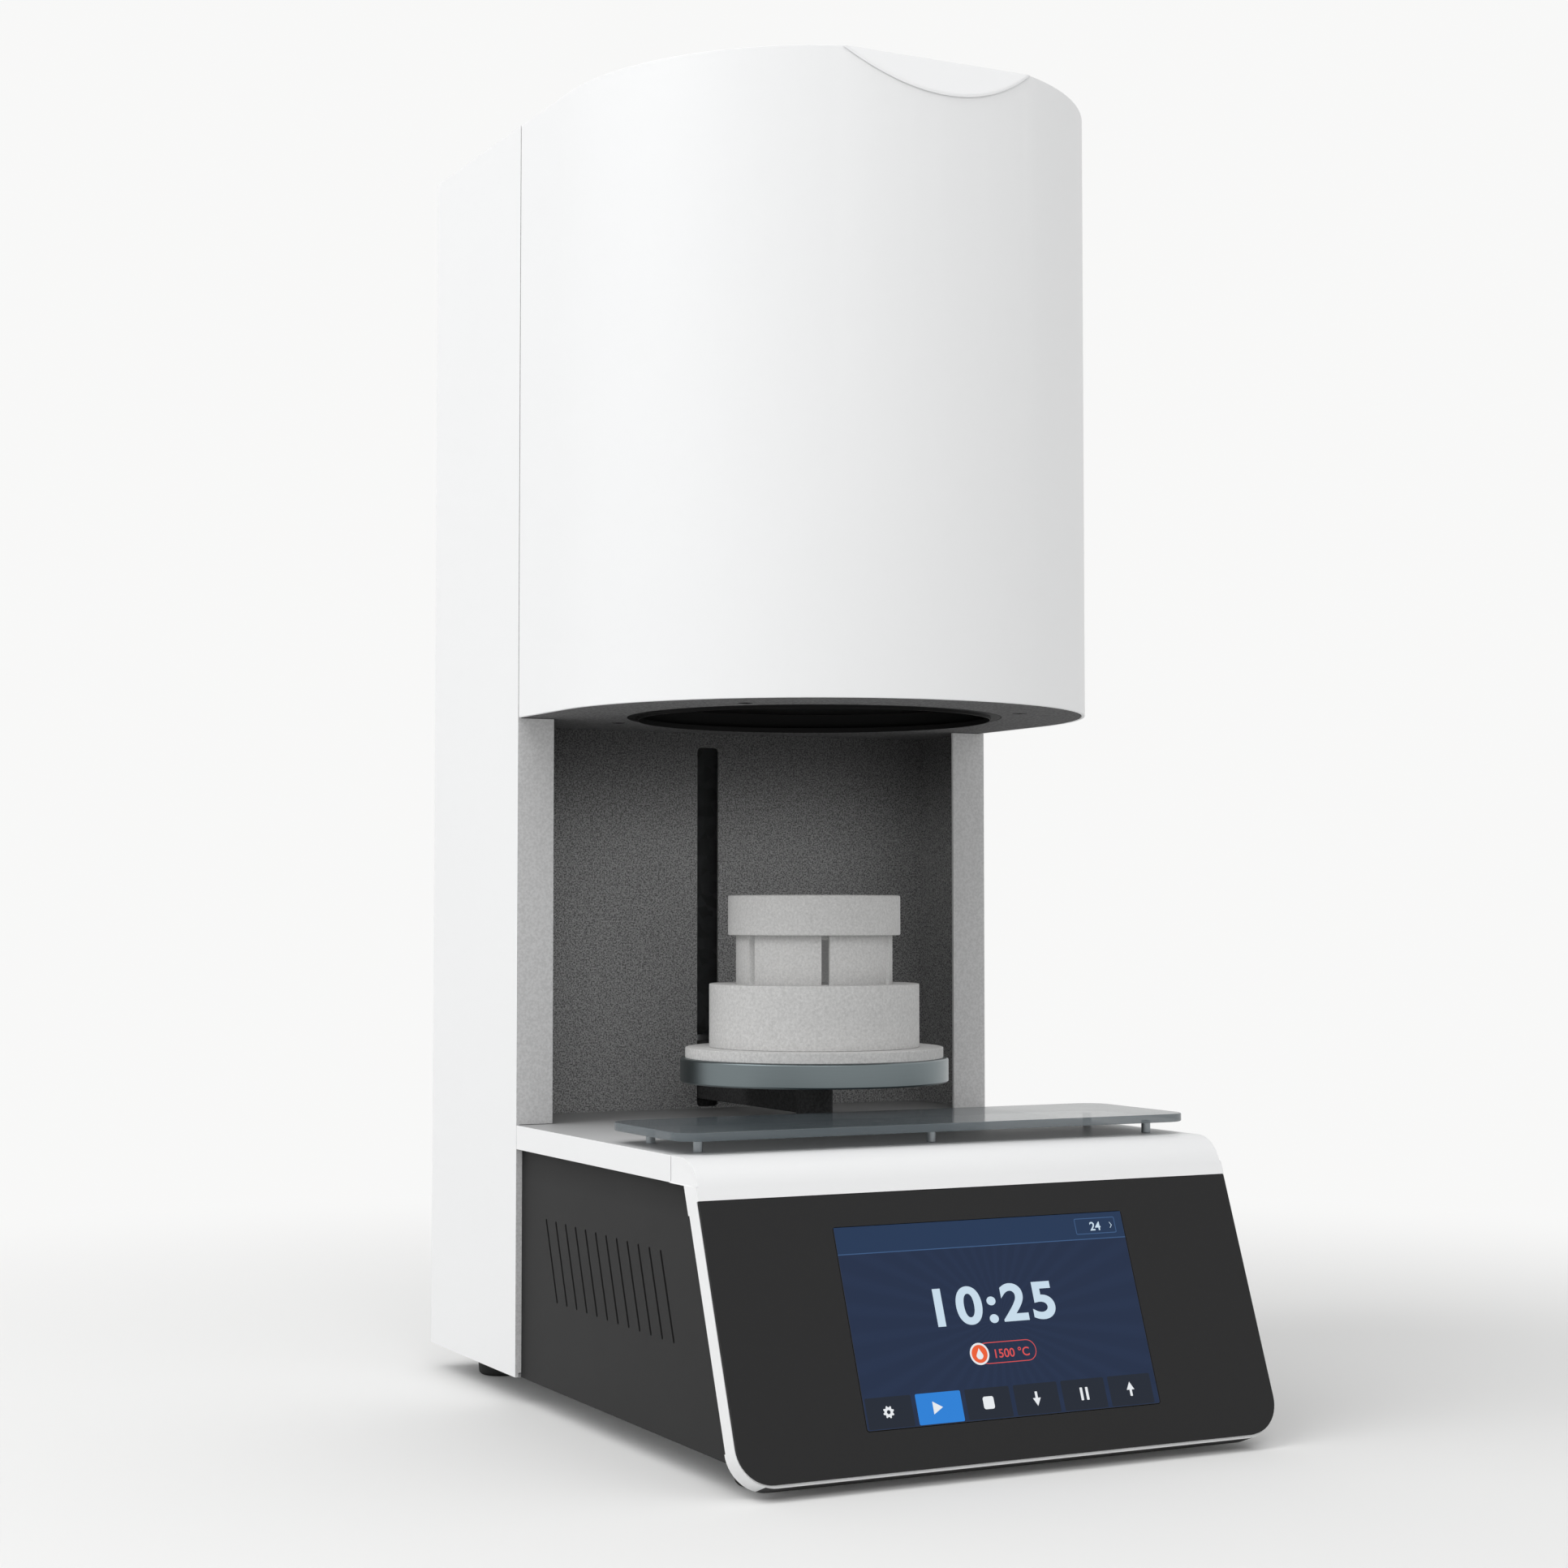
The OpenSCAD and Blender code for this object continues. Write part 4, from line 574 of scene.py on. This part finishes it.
screen_top, bar_low, bar_wide = 17.0, 31.2, 172.0
bar_blue = lit_color("bar_blue", (0.0146, 0.036, 0.0884))
line_blue = lit_color("line_blue", (0.045, 0.102, 0.223))
on_screen(round_plate(0.0, (screen_top + bar_low) / 2, bar_wide, bar_low - screen_top - 0.6, 0.0), "bar", 1, bar_blue)
on_screen(round_plate(0.0, bar_low, bar_wide, 0.5, 0.0), "bar_line", 2, line_blue)
on_screen(outline_of(round_plate(68.75, 24.3, 25.1, 8.6, 0.8), 0.45), "program_box", 2, line_blue)
pale_blue = lit_color("pale_blue", (0.578, 0.716, 0.831))
near_white = lit_color("near_white", (0.8, 0.83, 0.86))
on_screen(numerals("24", 65.3, 71.9, 22.2, 26.8, 0.015), "program_number", 3, pale_blue)
chevron_x, chevron_down, chevron_arm = 78.4, 24.4, 0.7
chevron = joined(*[round_plate(chevron_x, chevron_down + shift, 0.4, 1.7, 0.0)
                   for shift in (-chevron_arm, chevron_arm)])
for v in chevron.verts:
    v.co.x += chevron_arm * (1.0 - 2.0 * abs(-v.co.y - chevron_down) / 1.65)
on_screen(chevron, "program_mark", 3, pale_blue)

on_screen(numerals("10:25", -36.2, 34.6, 51.4, 71.2, 0.026, 1.14), "clock", 3, pale_blue)

badge_x, badge_down = -15.4, 86.1
flame_down, flame_radius = 86.9, 2.0
hot_red = lit_color("hot_red", (0.7, 0.085, 0.085))
hot_orange = lit_color("hot_orange", (0.83, 0.115, 0.035))
on_screen(outline_of(round_plate(0.9, badge_down, 34.6, 10.9, 5.4), 0.4), "heat_outline", 1, hot_red)
on_screen(disc(badge_x, badge_down, 5.6), "heat_badge_rim", 2, near_white)
on_screen(disc(badge_x, badge_down, 4.6), "heat_badge", 3, hot_orange)
flame = disc(badge_x, flame_down, flame_radius, sides=24)
for v in flame.verts:
    rise = -v.co.y - flame_down
    if rise < 0.0:
        v.co.x = badge_x + (v.co.x - badge_x) * (1.0 + rise / flame_radius) ** 0.8
        v.co.y += -rise * 0.9
on_screen(flame, "heat_flame", 4, near_white)
on_screen(numerals("1500 °C", -6.4, 13.9, 84.2, 88.9, 0.012), "heat_number", 3, hot_red)

button_top, button_low, button_wide, button_step, first_button = 103.2, 118.6, 25.9, 28.4, -85.0
button_middle = (button_top + button_low) / 2
button_blue = lit_color("button_blue", (0.0136, 0.0191, 0.031))
play_blue = lit_color("play_blue", (0.023, 0.216, 0.672))
for number in range(6):
    button = round_plate(first_button + button_wide / 2 + number * button_step, button_middle, button_wide,
                         button_low - button_top, 0.8)
    on_screen(button, f"button_{number + 1}", 1, play_blue if number == 1 else button_blue)
signs_down = 110.7
cog_x, cog_dent = -72.7, 0.24
cog = disc(cog_x, signs_down, 3.1, sides=32)
for number, v in enumerate(sorted(cog.verts, key=lambda v: math.atan2(v.co.y + signs_down, v.co.x - cog_x))):
    if number % 4 > 1:
        v.co.x += (cog_x - v.co.x) * cog_dent
        v.co.y += (-signs_down - v.co.y) * cog_dent
on_screen(outline_of(cog, 1.35), "sign_settings", 2, near_white)
on_screen(disc(-45.6, signs_down, 3.7, sides=3, turn=-90.0), "sign_start", 2, near_white)
on_screen(round_plate(-15.35, signs_down, 6.3, 6.3, 1.2), "sign_stop", 2, near_white)
for name, x, way, turn in (("sign_lower", 13.0, 1.0, 180.0), ("sign_raise", 69.8, -1.0, 0.0)):
    arrow = joined(round_plate(x, signs_down - 1.1 * way, 1.4, 4.6, 0.2),
                   disc(x, signs_down + 1.2 * way, 2.7, sides=3, turn=turn))
    on_screen(arrow, name, 2, near_white)
pause = joined(*[round_plate(x, signs_down, 1.5, 6.5, 0.3) for x in (40.0, 43.3)])
on_screen(pause, "sign_pause", 2, near_white)


# The side panels and the tray. Charcoal sheets, let in under the deck's band, have slanted
# slots for air and are painted darker close to the band, as painted shade under it. The tray
# under the base is bare zinc-coated steel on four rubber feet.
side_coat = coated_metal("side_coat", (0.0175, 0.0175, 0.0178), 0.6, peel=0.05, mottle=0.93, gloss=0.2)
edge_reach = 0.018
# Painted shade: the panels darken just under the deck's band.
painted_shade_towards(side_coat, "Z", deck_low.z - edge_reach, deck_low.z, share=0.3)
soft_copy("side_panel_left", "left_side", "frame", "dark_paint", side_coat, 0.0003)
soft_copy("side_panel_right", "right_side", "frame", "dark_paint", side_coat, 0.0003)
finish_nodes(zinc_steel, "base_tray")
rubber = coated_metal("rubber", (0.015, 0.015, 0.015), 0.75, peel=0.3)
soft_copy("feet", "rubber_feet", "frame", "rubber", rubber, 0.0005)


# The shelf. A sheet of smoked, tempered glass with ground edges. It stands over the deck on
# six short metal posts.
def smoked_glass(name, color, body):
    glass, tree, sockets, place = new_surface(name)
    sockets["Alpha"].default_value = body
    sockets["IOR"].default_value = 1.5
    sockets["Specular IOR Level"].default_value = 0.22
    smears = noise(tree, place, 26.0, detail=5.0)
    tree.links.new(blend(tree, smears, color, 0.97), sockets["Base Color"])
    tree.links.new(spread(tree, smears, 0.04, 0.16), sockets["Roughness"])
    return glass


grey_glass = smoked_glass("grey_glass", (0.125, 0.15, 0.165), 0.72)
soft_copy("shelf_glass", "glass_shelf", "frame", "glass", grey_glass, 0.0006)
bright_steel = machined_metal("bright_steel", (0.6, 0.62, 0.64), 0.22)
post_steel = machined_metal("post_steel", (0.36, 0.39, 0.41), 0.4)
soft_copy("shelf_posts", "glass_posts", "frame", "bright_steel", post_steel, 0.0003)


# The lift. A channel frame of folded steel carries two ground rods and a screw whose thread
# has five starts. Ball sleeves and a brass nut sit in an aluminium carriage.
finish_nodes(zinc_steel, "lift_frame")
finish_nodes(bright_steel, "guide_rods", "screw_bearings", "linear_bearings")
cast_metal = machined_metal("cast_metal", (0.55, 0.56, 0.57), 0.42, grain=(200.0, 200.0, 200.0), relief_depth=0.15)
soft_copy("carriage", "lift_carriage", "lift", "aluminium", cast_metal, 0.0008)
brass = machined_metal("brass", (0.66, 0.47, 0.2), 0.3, grain=(60.0, 60.0, 900.0))
soft_copy("carriage_nut", "lift_nut", "lift", "brass", brass, 0.0005)

screw_low, screw_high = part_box("lead_screw")
screw_middle = (screw_low + screw_high) / 2
collar_low, collar_high, collar_radius = 0.1261, 0.1311, 0.009
crest, root, lead, starts = 0.006, 0.0048, 0.010, 5
screw_profile = ((0.0, screw_low.z), (crest - 0.0005, screw_low.z), (crest, screw_low.z + 0.0005),
                 (crest, collar_low), (collar_radius - 0.0004, collar_low), (collar_radius, collar_low + 0.0004),
                 (collar_radius, collar_high - 0.0004), (collar_radius - 0.0004, collar_high), (root, collar_high),
                 (root, screw_high.z - 0.014), (crest - 0.0008, screw_high.z - 0.0135),
                 (crest - 0.0008, screw_high.z - 0.0006), (crest - 0.0014, screw_high.z), (0.0, screw_high.z))


def turned(profile, steps=48):
    shell = bmesh.new()
    points = [shell.verts.new((radius, 0.0, height)) for radius, height in profile]
    edges = [shell.edges.new(pair) for pair in zip(points, points[1:])]
    bmesh.ops.spin(shell, geom=points + edges, cent=(0.0, 0.0, 0.0), axis=(0.0, 0.0, 1.0),
                   angle=math.radians(360.0), steps=steps, use_merge=True)
    bmesh.ops.remove_doubles(shell, verts=shell.verts, dist=0.000002)
    bmesh.ops.recalc_face_normals(shell, faces=shell.faces)
    return shell


screw = turned(screw_profile)
thread_low = collar_high + 0.0015
thread_high = screw_high.z - 0.0155
turn_steps = 20
thread_steps = int((thread_high - thread_low) / lead * turn_steps)
tooth = lead / starts * 0.42
tooth_foot = (root - 0.0004, tooth * 0.8)
tooth_tip = (crest, tooth * 0.45)
for start in range(starts):
    ridge = bmesh.new()
    corners = [ridge.verts.new((radius, 0.0, thread_low + side * shift)) for side, (radius, shift) in
               ((-1.0, tooth_foot), (-1.0, tooth_tip), (1.0, tooth_tip), (1.0, tooth_foot))]
    sides = [ridge.edges.new(pair) for pair in zip(corners, corners[1:])]
    bmesh.ops.rotate(ridge, verts=ridge.verts, cent=(0.0, 0.0, 0.0),
                     matrix=Matrix.Rotation(math.radians(360.0 * start / starts), 3, "Z"))
    bmesh.ops.spin(ridge, geom=corners + sides, cent=(0.0, 0.0, 0.0), axis=(0.0, 0.0, 1.0),
                   dvec=(0.0, 0.0, lead / turn_steps), angle=math.radians(360.0) * thread_steps / turn_steps,
                   steps=thread_steps, use_merge=False)
    bmesh.ops.holes_fill(ridge, edges=[e for e in ridge.edges if e.is_boundary], sides=4)
    bmesh.ops.recalc_face_normals(ridge, faces=ridge.faces)
    joined(screw, ridge)
bmesh.ops.translate(screw, verts=screw.verts, vec=(screw_middle.x, screw_middle.y, 0.0))
rolled_steel = machined_metal("rolled_steel", (0.5, 0.51, 0.52), 0.3)
add_piece(screw, "threaded_screw", "screw", "steel", rolled_steel, "lead_screw")


# The motor under the screw. A stepper with a laminated body between two cast covers, a white
# connector, a ground shaft, and a coupling of aluminium with two sawn slits.
def layered_metal(name, color, pitch, direction):
    metal = machined_metal(name, color, 0.5)
    band_at_scale_one = 0.314
    layers = bands(metal.node_tree, direction, band_at_scale_one / pitch, wobble=0.4)
    emboss(metal.node_tree, layers, 0.5, 0.0003)
    return metal


motor_layers = layered_metal("motor_layers", (0.05, 0.05, 0.052), 0.001, "Z")
motor_low, motor_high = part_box("lift_motor")
motor = soft_copy("lift_motor", "stepper_motor", "frame", "black_plastic", motor_layers, 0.0004)
second_finish(motor, cast_metal, lambda middle, normal: middle.z > motor_high.z - 0.0122)
white_plastic = coated_metal("white_plastic", (0.7, 0.69, 0.66), 0.45, peel=0.1)
second_finish(motor, white_plastic, lambda middle, normal: middle.y < motor_low.y + 0.0052)
finish_nodes(bright_steel, "motor_spacers", "motor_shaft")
soft_copy("motor_coupling", "slit_coupling", "screw", "aluminium", light_metal, 0.0004)


# The hearth. A dark coated arm with a round hub carries a blue-grey metal plate, a ceramic
# disc and a thick insulating plug, which rise together into the mouth.
arm_coat = coated_metal("arm_coat", (0.085, 0.085, 0.086), 0.7, peel=0.3, peel_size=0.0014, gloss=0.08, speckle=0.25)
soft_copy("lift_arm", "hearth_arm", "lift", "dark_metal", arm_coat, 0.0005)
blue_metal = machined_metal("blue_metal", (0.2, 0.235, 0.245), 0.34, grain=(20.0, 20.0, 900.0), relief_depth=0.04)
soft_copy("platform_plate", "hearth_plate", "lift", "blue_steel", blue_metal, 0.0003)
soft_copy("base_disc", "hearth_disc", "lift", "fibre", white_fibre, 0.0005)
soft_copy("plug", "hearth_plug", "lift", "fibre", white_fibre, 0.0006)


# The crucible and its lid. Smooth alumina, turned, with six slots for air in the crucible's
# wall. Its inner faces are painted whiter and glow faintly, painted light seen through the
# slots. The lid's underside is painted grey as painted shade.
crucible = soft_copy("crucible", "slotted_crucible", "crucible", "alumina", alumina, 0.0005)
crucible_low, crucible_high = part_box("crucible")
crucible_middle = (crucible_low + crucible_high) / 2
crucible_bore = (crucible_high.x - crucible_low.x) / 2 - 0.001
# Painted light: a whiter finish with a faint glow on the crucible's inner faces.
painted_glow_white = pressed_fibre("painted_glow_white", (0.8, 0.8, 0.79), pore_size=0.0009, depth=0.05)
painted_glow_white.node_tree.nodes["Principled BSDF"].inputs["Emission Strength"].default_value = 0.055
second_finish(crucible, painted_glow_white, lambda middle, normal: middle.z < crucible_high.z - 0.0005
              and (middle - crucible_middle).xy.length < crucible_bore)
lid = soft_copy("crucible_lid", "crucible_cover", "lid", "alumina", alumina, 0.0006)
# Painted shade: the lid's underside in dark grey.
painted_shade_alumina = pressed_fibre("painted_shade_alumina", (0.16, 0.158, 0.154), pore_size=0.0013, depth=0.14)
second_finish(lid, painted_shade_alumina, lambda middle, normal: normal.z < -0.9)


# The transformer. A stack of lacquered laminations with one varnished copper winding on a
# pale bobbin. It stands on the base's tray.
laminations = layered_metal("laminations", (0.06, 0.06, 0.064), 0.0007, "Y")
soft_copy("transformer_core", "core_stack", "frame", "dark_metal", laminations, 0.0004)
varnished_copper = coated_metal("varnished_copper", (0.42, 0.19, 0.07), 0.35, peel=0.2)
turns = varnished_copper.node_tree
emboss(turns, bands(turns, "Z", 260.0), 0.8, 0.0005)
winding = soft_copy("transformer_coil", "copper_winding", "frame", "copper_coil", varnished_copper, 0.0008)
bobbin = coated_metal("bobbin", (0.55, 0.5, 0.38), 0.5, peel=0.1)
second_finish(winding, bobbin, lambda middle, normal: abs(normal.z) > 0.5)


# The relay and its heat sink. Black anodised fins stand on the base's tray and carry a pale
# relay with two metal terminals.
anodised = machined_metal("anodised", (0.045, 0.046, 0.05), 0.5, grain=(200.0, 200.0, 200.0))
soft_copy("heat_sink", "cooling_fins", "frame", "aluminium", anodised, 0.0003)
relay = soft_copy("power_relay", "switching_relay", "frame", "black_plastic", white_plastic, 0.0004)
relay_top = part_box("power_relay")[1].z
second_finish(relay, bright_steel, lambda middle, normal: middle.z > relay_top - 0.0046)


# The control board. Green laminate with terminal blocks, a processor and three capacitors
# with bright tops, on brass standoffs.
board_green = coated_metal("board_green", (0.02, 0.13, 0.06), 0.3, peel=0.1, mottle=0.8)
board = soft_copy("control_board", "circuit_board", "frame", "board", board_green, 0.0002)
board_low, board_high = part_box("control_board")
board_top = board_low.z + 0.0016
black_plastic = coated_metal("black_plastic", (0.02, 0.02, 0.021), 0.5, peel=0.2)
block_blue = coated_metal("block_blue", (0.03, 0.12, 0.3), 0.4, peel=0.1)
second_finish(board, black_plastic, lambda middle, normal: middle.z > board_top + 0.00005)
second_finish(board, block_blue,
              lambda middle, normal: middle.z > board_top + 0.00005 and middle.y > board_high.y - 0.018)
second_finish(board, light_metal, lambda middle, normal: middle.z > board_high.z - 0.0003)
finish_nodes(brass, "board_standoffs")


# The power supply. A folded cage of zinc-coated steel with punched slits. It stands on the
# base's tray.
soft_copy("power_supply", "supply_cage", "frame", "steel", zinc_steel, 0.0004)


# The cooling fan. A black frame with four struts, and a moulded rotor whose seven curved
# blades stand round a hub. It is screwed on behind the rear panel.
finish_nodes(black_plastic, "fan_frame")
frame_low, frame_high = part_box("fan_frame")
fan_middle = (frame_low + frame_high) / 2
fan_half = (frame_high.x - frame_low.x) / 2
fan_depth = frame_high.y - frame_low.y
hub = 0.4 * fan_half
blades = 7
blade_foot, blade_tip = hub - 0.0015, fan_half - 0.0052


def behind_panel(front):
    return Matrix.Translation((fan_middle.x, front, fan_middle.z)) @ Matrix.Rotation(-math.pi / 2, 4, "X")


rotor = turned(((0.0, 0.001), (0.002, 0.001), (0.002, 0.005), (hub - 0.0012, 0.005), (hub, 0.0062),
                (hub, fan_depth - 0.0036), (hub - 0.0016, fan_depth - 0.002), (hub * 0.62, fan_depth - 0.002),
                (hub * 0.56, fan_depth - 0.0028), (0.0, fan_depth - 0.0028)), steps=64)
for number in range(blades):
    blade = bmesh.new()
    bmesh.ops.create_grid(blade, x_segments=8, y_segments=8, size=0.5)
    for v in blade.verts:
        outward = v.co.x + 0.5
        reach = blade_foot + (blade_tip - blade_foot) * outward
        pitch = math.radians(42.0 - 14.0 * outward)
        chord = (0.017 + 0.006 * outward) * v.co.y
        around = chord * math.cos(pitch) / reach + 0.25 * outward
        along = fan_depth / 2 + 0.001 + chord * math.sin(pitch) - 0.0022 * (1.0 - 4.0 * v.co.y ** 2)
        v.co = (reach * math.cos(around), reach * math.sin(around), along)
    bmesh.ops.recalc_face_normals(blade, faces=blade.faces)
    bmesh.ops.solidify(blade, geom=blade.faces[:], thickness=0.0012)
    bmesh.ops.rotate(blade, verts=blade.verts, cent=(0.0, 0.0, 0.0),
                     matrix=Matrix.Rotation(math.radians(360.0 * number / blades), 3, "Z"))
    joined(rotor, blade)
bmesh.ops.transform(rotor, verts=rotor.verts, matrix=behind_panel(frame_low.y))
add_piece(rotor, "bladed_rotor", "fan", "black_plastic", black_plastic, "fan_rotor")


# The fan's guard. Four rings of bright wire welded on two cross wires, with an eye for a screw
# at each corner.
guard_low, guard_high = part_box("fan_guard")
ring_wire, cross_wire = 0.0007, 0.0008
ring_height = guard_high.y - guard_low.y - ring_wire
first_ring, ring_step, eye_radius = 0.010, 0.009, 0.0035
fan_hole = fan_half - 0.0048


def wire_ring(place, radius, wire, steps):
    ring = bmesh.new()
    section = bmesh.ops.create_circle(ring, segments=10, radius=wire, matrix=Matrix.Translation((radius, 0.0, 0.0))
                                      @ Matrix.Rotation(math.pi / 2, 4, "X"))["verts"]
    bmesh.ops.spin(ring, geom=section + ring.edges[:], cent=(0.0, 0.0, 0.0), axis=(0.0, 0.0, 1.0),
                   angle=math.radians(360.0), steps=steps, use_merge=True)
    bmesh.ops.translate(ring, verts=ring.verts, vec=place)
    return ring


guard = bmesh.new()
for number in range(4):
    joined(guard, wire_ring((0.0, 0.0, ring_height), first_ring + number * ring_step, ring_wire, 96))
for x in (-fan_hole, fan_hole):
    for y in (-fan_hole, fan_hole):
        joined(guard, wire_ring((x, y, cross_wire), eye_radius, cross_wire, 32))
for turn in (45.0, 135.0):
    bar = bmesh.new()
    bmesh.ops.create_cone(bar, cap_ends=True, segments=12, radius1=cross_wire, radius2=cross_wire,
                          depth=2 * (fan_hole * math.sqrt(2.0) - eye_radius))
    bmesh.ops.rotate(bar, verts=bar.verts, cent=(0.0, 0.0, 0.0), matrix=Matrix.Rotation(math.pi / 2, 3, "Y"))
    bmesh.ops.rotate(bar, verts=bar.verts, cent=(0.0, 0.0, 0.0), matrix=Matrix.Rotation(math.radians(turn), 3, "Z"))
    bmesh.ops.translate(bar, verts=bar.verts, vec=(0.0, 0.0, cross_wire))
    joined(guard, bar)
bmesh.ops.recalc_face_normals(guard, faces=guard.faces)
bmesh.ops.transform(guard, verts=guard.verts, matrix=behind_panel(guard_low.y))
add_piece(guard, "wire_guard", "frame", "bright_steel", bright_steel, "fan_guard")


# The mains inlet. A black moulded recess with three bright pins. It is let into the rear panel
# and has a hole for a screw at each side.
inlet_low, inlet_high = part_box("power_inlet")
inlet_middle = (inlet_low + inlet_high) / 2
inlet = soft_copy("power_inlet", "mains_socket", "frame", "black_plastic", black_plastic, 0.0003)
second_finish(inlet, bright_steel, lambda middle, normal: abs(middle.x - inlet_middle.x) < 0.0085
              and abs(middle.z - inlet_middle.z) < 0.0045 and inlet_high.y - 0.0182 < middle.y < inlet_high.y - 0.004)


# The mains switch. A black bezel with a rocker that tips on a pin. The rocker is marked with
# a plain line and a plain ring in white.
soft_copy("switch_housing", "switch_bezel", "frame", "black_plastic", black_plastic, 0.0003)
soft_copy("switch_rocker", "rocker_button", "rocker", "black_plastic", black_plastic, 0.0003)
housing_low, housing_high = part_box("switch_housing")
switch_middle = (housing_low + housing_high) / 2
pin_place = Vector((switch_middle.x, housing_high.y - 0.0016 - 0.004, switch_middle.z))
rocker_tilt = Matrix.Rotation(math.radians(8.0), 3, "X")
white_print = coated_metal("white_print", (0.75, 0.75, 0.75), 0.5, peel=0.05)
line_mark = bmesh.new()
bmesh.ops.create_grid(line_mark, x_segments=1, y_segments=1, size=0.5)
bmesh.ops.scale(line_mark, verts=line_mark.verts, vec=(0.0006, 0.0034, 1.0))
ring_mark = bmesh.new()
bmesh.ops.create_circle(ring_mark, cap_ends=True, segments=32, radius=0.0017)
ring_mark = outline_of(ring_mark, 0.0005)
for mark, name, way in ((line_mark, "mark_on", 1.0), (ring_mark, "mark_off", -1.0)):
    facet = Vector((0.0, way * 0.0012, 0.0066)).normalized()
    up = rocker_tilt @ facet
    out = rocker_tilt @ Vector((0.0, facet.z, -facet.y))
    place = Matrix((up.cross(out), up, out)).transposed().to_4x4()
    place.translation = pin_place + rocker_tilt @ Vector((0.0, 0.0038, way * 0.0033)) + out * 0.00004
    bmesh.ops.transform(mark, verts=mark.verts, matrix=place)
    add_piece(mark, name, "rocker", "black_plastic", white_print)
